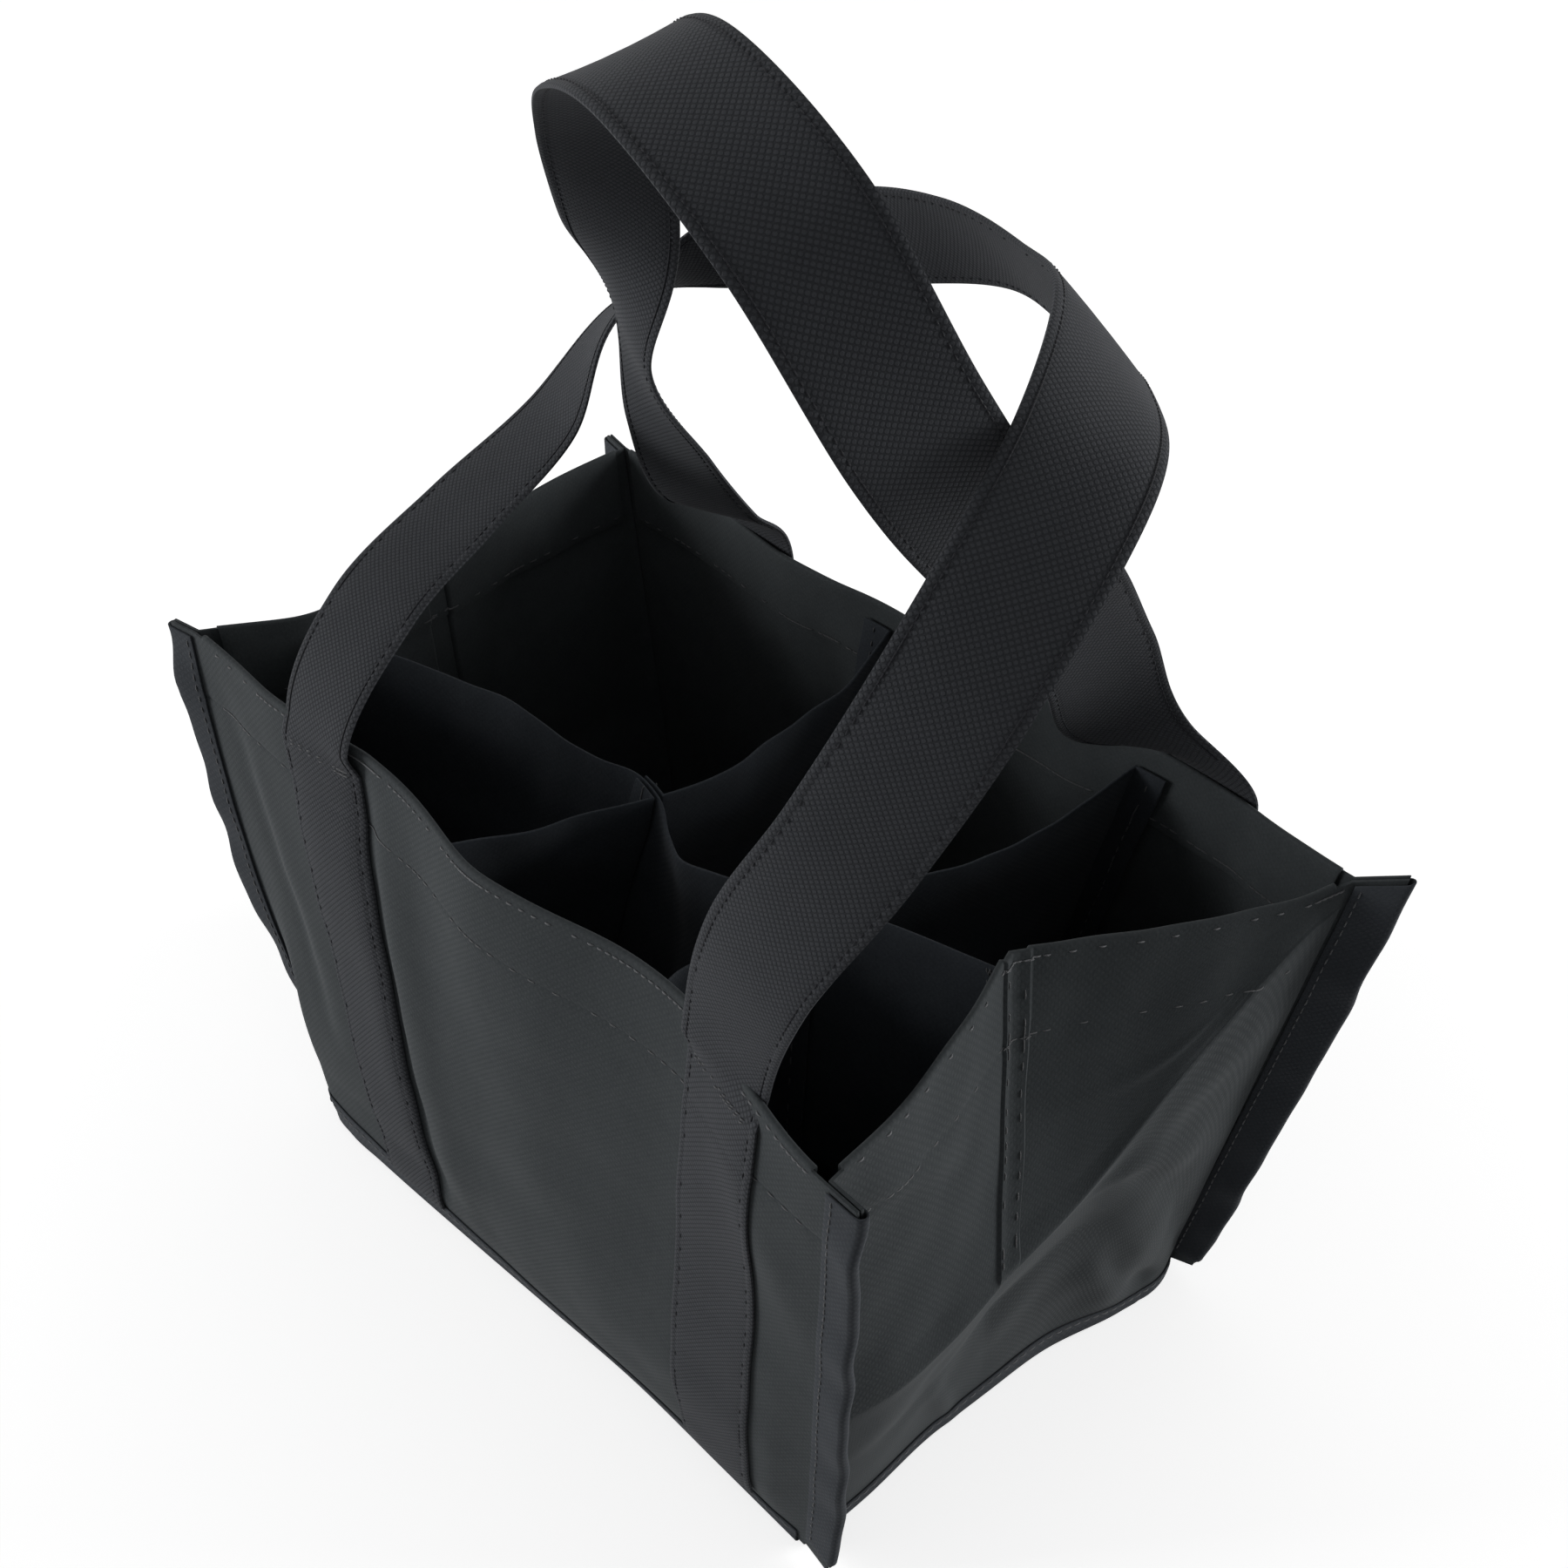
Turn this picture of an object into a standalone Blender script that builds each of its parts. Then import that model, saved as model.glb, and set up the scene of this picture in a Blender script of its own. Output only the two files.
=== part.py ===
"""Six-cell bottle tote, sewn from black non-woven fabric, with two strap handles.

Frame: metres, +Z up, origin at the middle of the base on the ground. +X runs along the bag to
the right, -Y is the front. The bag stands open. The two handles are threaded through each other
and each swings on the line where its strap leaves the rim.
"""
import math

import bpy
from mathutils import Vector

MM = 0.001

# Cut pieces and sheet goods
SHEET = 0.8 * MM                 # non-woven fabric of panels, gussets, bottom and dividers
BINDING_SHEET = 0.6 * MM         # thinner tape folded over the raw seam edges
STRAP_THICK = 1.6 * MM
STRAP_WIDTH = 26.7 * MM
BOARD_THICK = 2.0 * MM
GAP = 0.3 * MM                   # clearance between two touching pieces
STRAP_GAP = 0.5 * MM             # clearance under a strap, which lies on a curved wall

# The standing bag
HEIGHT = 155.0 * MM              # wall height up to the fold of the rim
FOOT_Z = 2.8 * MM                # height of the walls' turned-out foot
FOOT_FRONT_LEFT = (-98.0 * MM, -69.0 * MM)
FOOT_FRONT_RIGHT = (104.0 * MM, -66.0 * MM)
FOOT_BACK_RIGHT = (107.0 * MM, 68.0 * MM)
FOOT_BACK_LEFT = (-104.0 * MM, 68.0 * MM)
RIM_FRONT_LEFT = (-125.0 * MM, -75.0 * MM)
RIM_FRONT_RIGHT = (115.0 * MM, -75.0 * MM)
RIM_BACK_RIGHT = (131.0 * MM, 70.0 * MM)
RIM_BACK_LEFT = (-127.0 * MM, 68.0 * MM)
BELLY = 4.0 * MM                 # how far the long walls bow out at mid height
SEAM_FLANGE = 9.0 * MM           # seam edges standing out at the four uprights
BASE_FLANGE = 4.0 * MM           # seam edges standing out round the foot
HEM_DEPTH = 22.0 * MM            # fabric folded inwards at the rim
FOLD_RADIUS = 0.55 * MM
HEM_END = 3.0 * MM               # the folded hem stops this short of an upright seam
TAPE_SHARES = (0.031, 0.995)     # stretch of each upright seam that is covered with tape
FOOT_TAPE_SHARES = (0.012, 0.988)

# Where the straps draw the rim in: (share along the wall, draw inwards, half width as a share)
FRONT_DRAWS = ((0.33, 5.5 * MM, 0.20), (0.745, 10.5 * MM, 0.25))
BACK_DRAWS = ((0.20, -3.0 * MM, 0.20), (0.71, 4.0 * MM, 0.16))

# The inward fold of the two end walls
RIGHT_FOLD = 27.0 * MM           # depth of the fold at the rim
RIGHT_FOLD_SHARE = 0.50          # where the ridge lies across the wall
LEFT_FOLD = 12.0 * MM
LEFT_FOLD_SHARE = 0.80
RIDGE_SHARE = 0.46               # height at which the fold runs out
RIDGE_CLIMB_SHARE = 0.48         # how much higher it runs out at the back corner
RIDGE_BULGE = 3.0 * MM           # the end walls stand out this much where the fold runs out
RIDGE_SOFTNESS = 0.05

# Bottom
BOTTOM_RISE = 1.3 * MM           # the bottom panel's edge stands this much above its middle
RISE_WIDTH = 5.0 * MM
BOARD_INSET = 7.0 * MM

# Dividers
DIVIDER_FOOT = 14.0 * MM
DIVIDER_TOP = 150.0 * MM
DIVIDER_SAG = 7.0 * MM
TAB_WIDTH = 9.0 * MM
WALL_TO_TAB = 2.9 * MM           # from a wall's mid sheet to a tab's, clear of the hem
LONG_WAVE_SHARES = (0.0, 0.055, 0.08, 0.09, 0.07, -0.05, -0.035, -0.01, 0.0)
LONG_WAVE_SPAN = 146.0 * MM
LEFT_MEET_SHARE = 0.50           # where each pair of cross dividers meets the long one, at the top
RIGHT_MEET_SHARE = 0.75
LEFT_FOOT_SHARE = 0.33
RIGHT_FOOT_SHARE = 0.68
LEFT_FRONT_SHARE = 0.44          # where the cross dividers meet the front and back walls
RIGHT_FRONT_SHARE = 0.73
LEFT_BACK_SHARE = 0.56
RIGHT_BACK_SHARE = 0.24
CROSS_BULGE = 5.0 * MM
CROSS_OFF = 1.8 * MM             # from the long divider's mid sheet to a cross divider's tab

# Straps
FRONT_LEG_SHARES = (0.2375, 0.850)   # strap middles along the front wall, from its left end
BACK_LEG_SHARES = (0.167, 0.76)      # the same along the back wall, from its right end
LEG_FOOT = 6.0 * MM
HINGE_RISE = 2.2 * MM            # the handles bend this far above the rim's fold
HINGE_CLEARANCE = 0.6 * MM
HANDLE_REACH = 100.0 * MM        # unit of the handle stations' shares
TACK_HEIGHT = 2.2 * MM
TACK_THICK = 0.8 * MM
TACK_DROP = 9.0 * MM
TACK_WIDTH_SHARE = 0.7
DIVIDER_TACK_SHARE = 0.008       # step along the long divider
DIVIDER_TACK_STEPS = 3
DIVIDER_TACK_UP_SHARES = (0.965, 0.985)

# Stations along each handle between its left leg and its right one: the middle of the strap measured
# from the hinge line's height, and the direction across it, both as shares.
FRONT_STATION_SHARES = (
    ((-0.73, -0.51, 0.22), (-1.0, -0.2, 0.0)),
    ((-0.77, -0.20, 0.35), (-1.0, 0.0, 0.0)),
    ((-0.77, 0.08, 0.49), (-1.0, 0.2, -0.1)),
    ((-0.71, 0.26, 0.74), (-0.7, 0.7, -0.2)),
    ((-0.49, 0.45, 0.91), (0.0, 0.6, -0.8)),
    ((-0.14, 0.56, 1.04), (0.3, 0.4, -0.9)),
    ((0.24, 0.51, 1.17), (0.4, 0.5, -0.8)),
    ((0.59, 0.35, 1.24), (0.4, 0.4, -0.8)),
    ((0.91, 0.12, 1.34), (0.6, 0.4, -0.7)),
    ((1.13, -0.17, 1.34), (0.7, 0.5, -0.4)),
    ((1.17, -0.48, 1.06), (0.8, 0.4, -0.4)),
    ((1.06, -0.62, 0.70), (0.8, 0.4, -0.4)),
    ((0.90, -0.71, 0.34), (0.9, 0.1, -0.4)),
)
BACK_STATION_SHARES = (
    ((-0.55, 0.386, 0.218), (-0.9, -0.50, 0.01)),
    ((-0.45, 0.174, 0.524), (-1.0, -0.20, 0.11)),
    ((-0.40, 0.022, 0.868), (-0.9, 0.31, 0.29)),
    ((-0.29, -0.089, 1.191), (-0.8, -0.60, 0.12)),
    ((-0.13, -0.241, 1.485), (-0.5, -0.80, -0.08)),
    ((0.12, -0.416, 1.710), (-0.3, -0.91, -0.28)),
    ((0.44, -0.553, 1.804), (-0.2, -0.91, -0.38)),
    ((0.79, -0.587, 1.674), (-0.3, -0.81, -0.48)),
    ((0.962, -0.474, 1.367), (-0.3, -0.82, -0.58)),
    ((0.962, -0.242, 1.071), (-0.35, -0.84, -0.41)),
    ((0.832, 0.141, 0.733), (-0.35, -0.84, -0.41)),
    ((0.776, 0.358, 0.462), (-0.35, -0.84, -0.41)),
    ((0.752, 0.565, 0.195), (-0.73, -0.61, -0.30)),
)

# Mesh steps
WALL_ROWS = 12
WALL_COLUMNS = 22
FOLD_STEPS = 4
HEM_ROWS = 3
DIVIDER_ROWS = 7
DIVIDER_COLUMNS = 28
CROSS_COLUMNS = 7
BIND_ROWS = 11
BIND_ARC_STEPS = 4
LEG_ROWS = 12
HANDLE_STEPS = 70

LAYER = SHEET + GAP              # from one sheet's middle to the next one's
BIND_OUT = (SHEET + BINDING_SHEET) / 2 + GAP
STRAP_OUT = (SHEET + STRAP_THICK) / 2 + STRAP_GAP
HINGE_Z = HEIGHT + HINGE_RISE

FABRIC = "fabric"
BINDING = "binding"
WEBBING = "webbing"
BOARD = "board"
THREAD = "thread"
MATERIALS = {
    FABRIC: ((0.040, 0.045, 0.045, 1.0), 0.85),
    BINDING: ((0.030, 0.034, 0.034, 1.0), 0.85),
    WEBBING: ((0.055, 0.060, 0.058, 1.0), 0.80),
    BOARD: ((0.030, 0.030, 0.032, 1.0), 0.70),
    THREAD: ((0.016, 0.017, 0.020, 1.0), 0.60),
}


def clear_scene():
    """Removes the objects that a new scene starts with."""
    for thing in list(bpy.data.objects):
        bpy.data.objects.remove(thing, do_unlink=True)


def make_materials():
    """Returns the named Principled materials."""
    made = {}
    for name, (colour, roughness) in MATERIALS.items():
        material = bpy.data.materials.new(name)
        material.use_nodes = True
        shader = material.node_tree.nodes["Principled BSDF"]
        shader.inputs["Base Color"].default_value = colour
        shader.inputs["Roughness"].default_value = roughness
        made[name] = material
    return made


def mix(first, second, share):
    """Returns the point a share of the way from the first to the second."""
    return Vector(first).lerp(Vector(second), share)


def between(ends, share):
    """Returns the number a share of the way from the first end to the second."""
    return ends[0] + (ends[1] - ends[0]) * share


def smooth(first, second, before, after, share):
    """Returns a point on the curve through four even stations, between the middle two."""
    start = (second - before) / 2
    end = (after - first) / 2
    square = share * share
    cube = square * share
    return (first * (2 * cube - 3 * square + 1) + start * (cube - 2 * square + share)
            + second * (3 * square - 2 * cube) + end * (cube - square))


def along(stations, share):
    """Returns the point at a share of a smooth curve through even stations."""
    place = share * (len(stations) - 1)
    step = min(int(place), len(stations) - 2)
    first = stations[step]
    second = stations[step + 1]
    before = stations[step - 1] if step else first * 2 - second
    after = stations[step + 2] if step + 2 < len(stations) else second * 2 - first
    return smooth(first, second, before, after, place - step)


class Sheets:
    """Builds the named pieces of the tote in its collection."""

    def __init__(self, collection, materials):
        self.collection = collection
        self.materials = materials

    def place(self, name, mesh, slot, origin):
        """Adds a mesh, moved so that its origin lies at the given point."""
        for vertex in mesh.vertices:
            vertex.co -= origin
        mesh.materials.append(self.materials[slot])
        thing = bpy.data.objects.new(name, mesh)
        thing.location = origin
        self.collection.objects.link(thing)
        return thing

    def sheet(self, name, rows, thickness, slot, origin=Vector((0, 0, 0))):
        """Makes a sheet of fabric from rows of points; a None leaves a hole at a corner."""
        index = {}
        points = []
        for r, row in enumerate(rows):
            for c, point in enumerate(row):
                if point is not None:
                    index[r, c] = len(points)
                    points.append(point)
        faces = []
        for r in range(len(rows) - 1):
            for c in range(len(rows[r]) - 1):
                ring = ((r, c), (r, c + 1), (r + 1, c + 1), (r + 1, c))
                if all(corner in index for corner in ring):
                    faces.append([index[corner] for corner in ring])
        mesh = bpy.data.meshes.new(name)
        mesh.from_pydata(points, [], faces)
        mesh.validate()
        thing = self.place(name, mesh, slot, origin)
        solid = thing.modifiers.new("thickness", "SOLIDIFY")
        solid.thickness = thickness
        solid.offset = 0.0
        solid.use_even_offset = True
        return thing


class Wall:
    """One of the four walls, as a surface over a share across it and a share up it."""

    def __init__(self, feet, rims, draws=(), belly=0.0, fold=None, inset=0.0):
        """Takes the foot and rim corners in order, seen from outside from left to right."""
        self.feet = [Vector((x, y, FOOT_Z)) for x, y in feet]
        self.rims = [Vector((x, y, HEIGHT)) for x, y in rims]
        self.draws = draws
        self.belly = belly
        self.fold = fold
        if inset:
            for ends in (self.feet, self.rims):
                shift = (ends[1] - ends[0]).normalized() * inset
                ends[0] += shift
                ends[1] -= shift

    def run(self, up):
        """Returns the level direction from the wall's left corner to its right one."""
        ends = [mix(self.feet[k], self.rims[k], up) for k in (0, 1)]
        return (ends[1] - ends[0]).normalized()

    def outward(self, up):
        """Returns the level direction that faces out of the bag."""
        run = self.run(up)
        return Vector((run.y, -run.x, 0))

    def inward_fold(self, across, up):
        """Returns how far the fold of an end wall draws a point into the bag."""
        depth, ridge, climb_side = self.fold
        side = across - ridge
        reach = ridge if side < 0 else 1 - ridge
        away = math.sqrt((side / reach) ** 2 + RIDGE_SOFTNESS ** 2) - RIDGE_SOFTNESS
        tent = max(0.0, 1 - away)
        climb = RIDGE_CLIMB_SHARE * max(0.0, side * climb_side) / reach
        low = RIDGE_SHARE + climb
        bulge = RIDGE_BULGE * math.sin(math.pi * across)
        if up < low:
            return -bulge * up / low
        rise = (up - low) / (1 - low)
        return depth * tent * rise - bulge * (1 - rise)

    def point(self, across, up):
        """Returns the point on the wall's middle sheet."""
        left = mix(self.feet[0], self.rims[0], up)
        right = mix(self.feet[1], self.rims[1], up)
        spot = mix(left, right, across)
        out = self.belly * math.sin(math.pi * across) * math.sin(math.pi * up)
        for place, depth, width in self.draws:
            near = min(1.0, abs(across - place) / width)
            out -= depth * (1 + math.cos(math.pi * near)) / 2 * up * up
        if self.fold:
            out -= self.inward_fold(across, up)
        return spot + self.outward(up) * out

    def normal(self, across, up):
        """Returns the direction square to the wall, out of the bag."""
        step = 0.01
        side = self.point(min(1.0, across + step), up) - self.point(max(0.0, across - step), up)
        rise = self.point(across, min(1.0, up + step)) - self.point(across, max(0.0, up - step))
        return side.cross(rise).normalized()

    def off(self, across, up, distance):
        """Returns a point at a distance outside the wall's middle sheet."""
        return self.point(across, up) + self.normal(across, up) * distance

    def width(self, up):
        """Returns the wall's length between its corners at a height."""
        return (mix(self.feet[1], self.rims[1], up) - mix(self.feet[0], self.rims[0], up)).length


def wall_sheet(wall, sideways):
    """Returns the grid of one wall: foot edge, wall, fold of the rim, and hem.

    sideways gives the two directions in which the upright seam edges stand out.
    """
    shares = [c / WALL_COLUMNS for c in range(WALL_COLUMNS + 1)]
    end = HEM_END / wall.width(1.0)
    shares[1:1] = [end]
    shares[-1:-1] = [1 - end]
    foot = [wall.point(share, 0.0) + wall.outward(0.0) * BASE_FLANGE for share in shares]
    rows = [[None] + foot + [None]]
    for r in range(WALL_ROWS + 1):
        up = r / WALL_ROWS
        row = [wall.point(share, up) for share in shares]
        left = row[0] + sideways[0](up) * SEAM_FLANGE
        right = row[-1] + sideways[1](up) * SEAM_FLANGE
        rows.append([left] + row + [right])
    inner = range(1, len(shares) - 1)
    for step in range(1, FOLD_STEPS + 1):
        turn = math.pi * step / FOLD_STEPS
        row = [None] * (len(shares) + 2)
        for c in inner:
            into = wall.normal(shares[c], 1.0) * -1
            into.z = 0
            into.normalize()
            level = FOLD_RADIUS * (1 - math.cos(turn))
            row[c + 1] = (wall.point(shares[c], 1.0) + into * level
                          + Vector((0, 0, FOLD_RADIUS * math.sin(turn))))
        rows.append(row)
    for step in range(1, HEM_ROWS + 1):
        up = 1 - HEM_DEPTH / HEIGHT * step / HEM_ROWS
        row = [None] * (len(shares) + 2)
        for c in inner:
            row[c + 1] = wall.off(shares[c], up, -FOLD_RADIUS * 2)
        rows.append(row)
    return rows


def binding_profile(reach, under, over):
    """Returns a U in (out along the edge, across it), from the upper leg round to the under one."""
    radius = (under + over) / 2
    middle = (over - under) / 2
    profile = [(BIND_OUT, over)]
    for step in range(BIND_ARC_STEPS + 1):
        turn = math.pi * step / BIND_ARC_STEPS
        profile.append((reach + math.sin(turn) * radius, middle + math.cos(turn) * radius))
    profile.append((BIND_OUT, -under))
    return profile


def upright_binding(wall, at_end, panel_side):
    """Returns the grid of the tape folded over one upright seam."""
    rows = []
    profile = binding_profile(SEAM_FLANGE + GAP, BIND_OUT, LAYER + BIND_OUT)
    for r in range(BIND_ROWS + 1):
        up = between(TAPE_SHARES, r / BIND_ROWS)
        corner = wall.point(float(at_end), up)
        sideways = wall.run(up) * panel_side
        inside = wall.outward(up) * -1
        rows.append([corner + sideways * reach + inside * over for reach, over in profile])
    return rows


def foot_binding(wall):
    """Returns the grid of the tape folded over the seam along one wall's foot."""
    rows = []
    profile = binding_profile(BASE_FLANGE + GAP, LAYER + BIND_OUT, BIND_OUT)
    for r in range(WALL_COLUMNS + 1):
        share = between(FOOT_TAPE_SHARES, r / WALL_COLUMNS)
        foot = wall.point(share, 0.0)
        out = wall.outward(0.0)
        rows.append([foot + out * reach + Vector((0, 0, over)) for reach, over in profile])
    return rows


def bottom_rows():
    """Returns the grid of the bottom panel, flat in the middle and raised along its seams."""
    corners = [Vector((x, y, 0)) for x, y in
               (FOOT_FRONT_LEFT, FOOT_FRONT_RIGHT, FOOT_BACK_RIGHT, FOOT_BACK_LEFT)]
    across = (corners[1] - corners[0]).length
    deep = (corners[3] - corners[0]).length
    flat_x = RISE_WIDTH / across
    flat_y = RISE_WIDTH / deep
    out_x = BASE_FLANGE / across
    out_y = BASE_FLANGE / deep
    xs = [-out_x, 0.0, flat_x / 2, flat_x] + [k / 8 for k in range(1, 8)]
    xs += [1 - flat_x, 1 - flat_x / 2, 1.0, 1 + out_x]
    ys = [-out_y, 0.0, flat_y / 2, flat_y] + [k / 6 for k in range(1, 6)]
    ys += [1 - flat_y, 1 - flat_y / 2, 1.0, 1 + out_y]
    rows = []
    for y in ys:
        row = []
        for x in xs:
            front = corners[0] + (corners[1] - corners[0]) * x
            back = corners[3] + (corners[2] - corners[3]) * x
            spot = front + (back - front) * y
            edge = min(min(x, 1 - x) / flat_x, min(y, 1 - y) / flat_y)
            rise = BOTTOM_RISE * min(1.0, max(0.0, 1 - edge))
            row.append(spot + Vector((0, 0, SHEET / 2 + rise)))
        rows.append(row)
    return rows


def board_rows():
    """Returns the outline of the base board as a flat grid."""
    corners = [Vector((x, y, 0)) for x, y in
               (FOOT_FRONT_LEFT, FOOT_FRONT_RIGHT, FOOT_BACK_RIGHT, FOOT_BACK_LEFT)]
    middle = sum(corners, Vector((0, 0, 0))) / 4
    level = SHEET + GAP + BOARD_THICK / 2
    inset = []
    for corner in corners:
        to_middle = middle - corner
        step = Vector((math.copysign(BOARD_INSET, to_middle.x),
                       math.copysign(BOARD_INSET, to_middle.y), level))
        inset.append(corner + step)
    rows = []
    for r in range(5):
        left = mix(inset[0], inset[3], r / 4)
        right = mix(inset[1], inset[2], r / 4)
        rows.append([mix(left, right, c / 6) for c in range(7)])
    return rows


def divider_height(share, up):
    """Returns the height on a divider, whose top hangs between its ends."""
    top = DIVIDER_TOP - DIVIDER_SAG * math.sin(math.pi * share) ** 2
    return DIVIDER_FOOT + (top - DIVIDER_FOOT) * up


class LongDivider:
    """The divider between the two end walls, wavy at its top."""

    def __init__(self, left_wall, right_wall):
        self.left_wall = left_wall
        self.right_wall = right_wall
        self.wave = [Vector((0, share, 0)) * LONG_WAVE_SPAN for share in LONG_WAVE_SHARES]

    def end(self, wall, fold_share, z):
        """Returns the point just inside an end wall's ridge at a height."""
        up = (z - FOOT_Z) / (HEIGHT - FOOT_Z)
        return wall.off(fold_share, up, -WALL_TO_TAB)

    def point(self, share, up):
        """Returns the point at a share along the divider and a share up it."""
        z = divider_height(share, up)
        left = self.end(self.left_wall, LEFT_FOLD_SHARE, z)
        right = self.end(self.right_wall, RIGHT_FOLD_SHARE, z)
        spot = mix(left, right, share) + along(self.wave, share) * up
        spot.z = z
        return spot

    def side(self, share, up, distance):
        """Returns a point beside the divider; a positive distance is towards the back."""
        step = 0.01
        run = self.point(min(1.0, share + step), up) - self.point(max(0.0, share - step), up)
        run.z = 0
        across = Vector((-run.y, run.x, 0)).normalized()
        return self.point(share, up) + across * distance

    def rows(self):
        """Returns the grid, with a tab at each end lying on the end wall."""
        grid = []
        for r in range(DIVIDER_ROWS + 1):
            up = r / DIVIDER_ROWS
            row = [self.tab(self.left_wall, LEFT_FOLD_SHARE, 0.0, up, -1)]
            row += [self.point(c / DIVIDER_COLUMNS, up) for c in range(DIVIDER_COLUMNS + 1)]
            row.append(self.tab(self.right_wall, RIGHT_FOLD_SHARE, 1.0, up, 1))
            grid.append(row)
        return grid

    def tab(self, wall, ridge, share, up, turn):
        """Returns the outer edge of an end's tab, towards the back of the bag."""
        z = divider_height(share, up)
        across = ridge + turn * TAB_WIDTH / wall.width(1.0)
        return wall.off(across, (z - FOOT_Z) / (HEIGHT - FOOT_Z), -WALL_TO_TAB)


def cross_rows(divider, wall, meets, walls_at, side, tab_side):
    """Returns the grid of half a cross divider, from the long divider to a long wall.

    meets and walls_at are (foot share, top share) on the long divider and on the wall; side is
    1 for the back half and -1 for the front half. The tabs lie towards +X for a tab_side of 1.
    """
    grid = []
    for r in range(DIVIDER_ROWS + 1):
        up = r / DIVIDER_ROWS
        inner = between(meets, up)
        outer = between(walls_at, up)
        z = divider_height(0.0, up)
        level = (z - FOOT_Z) / (HEIGHT - FOOT_Z)
        turn = TAB_WIDTH / wall.width(1.0)
        start = divider.side(inner, up, CROSS_OFF * side)
        end = wall.off(outer, level, -WALL_TO_TAB)
        row = [divider.side(inner + turn * tab_side, up, CROSS_OFF * side)]
        for c in range(CROSS_COLUMNS + 1):
            share = c / CROSS_COLUMNS
            spot = mix(start, end, share)
            spot.x += CROSS_BULGE * math.sin(math.pi * share) * up * side
            spot.z = mix(start, end, share).z - DIVIDER_SAG * math.sin(math.pi * share) * up / 2
            row.append(spot)
        row.append(wall.off(outer - turn * side * tab_side, level, -WALL_TO_TAB))
        grid.append(row)
    return grid


def divider_tack_rows(divider, near):
    """Returns the grid of the tight stitches that catch the long divider's end at the rim."""
    out = (SHEET + TACK_THICK) / 2 + GAP
    rows = []
    for k in range(DIVIDER_TACK_STEPS + 1):
        share = near + math.copysign(DIVIDER_TACK_SHARE, 0.5 - near) * (k + 1)
        rows.append([divider.side(share, up, -out) for up in DIVIDER_TACK_UP_SHARES])
    return rows


def leg_rows(wall, share):
    """Returns the grid of a strap sewn to the outside of a wall, up to its hinge line."""
    half = STRAP_WIDTH / 2 / wall.width(1.0)
    rows = []
    for r in range(LEG_ROWS + 1):
        up = between((LEG_FOOT / HEIGHT, 1.0), r / LEG_ROWS)
        shift = half * wall.width(1.0) / wall.width(up)
        rows.append([wall.off(share + k * shift, up, STRAP_OUT) for k in (-1, -0.5, 0, 0.5, 1)])
    top = [point.copy() for point in rows[-1]]
    for point in top:
        point.z = HINGE_Z - HINGE_CLEARANCE
    rows.append(top)
    return rows


def tack_rows(wall, share):
    """Returns the grid of the row of tight stitches across a strap, just under the rim."""
    half = STRAP_WIDTH / 2 * TACK_WIDTH_SHARE / wall.width(1.0)
    out = STRAP_OUT + (STRAP_THICK + TACK_THICK) / 2 + STRAP_GAP
    rows = []
    for side in (-1, 1):
        up = 1 - (TACK_DROP - TACK_HEIGHT / 2 * side) / HEIGHT
        rows.append([wall.off(share + k * half, up, out) for k in (-1, -0.5, 0, 0.5, 1)])
    return rows


def handle_rows(stations, tops):
    """Returns the grid of a free handle loop, a strap of even width from one leg's top to the other's."""
    ends = [Vector((top.x, top.y, HINGE_Z + HINGE_CLEARANCE)) for top in tops]
    middles = [Vector(place) * HANDLE_REACH + Vector((0, 0, HINGE_Z)) for place, _ in stations]
    middles = [ends[0]] + middles + [ends[1]]
    directions = [Vector((-1, 0, 0))] + [Vector(way) for _, way in stations]
    directions.append(Vector((math.copysign(1, directions[-1].x), 0, 0)))
    rows = []
    for step in range(HANDLE_STEPS + 1):
        share = step / HANDLE_STEPS
        middle = along(middles, share)
        across = along(directions, share).normalized() * (STRAP_WIDTH / 2)
        rows.append([middle + across * k for k in (-1, 0, 1)])
    return rows


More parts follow.
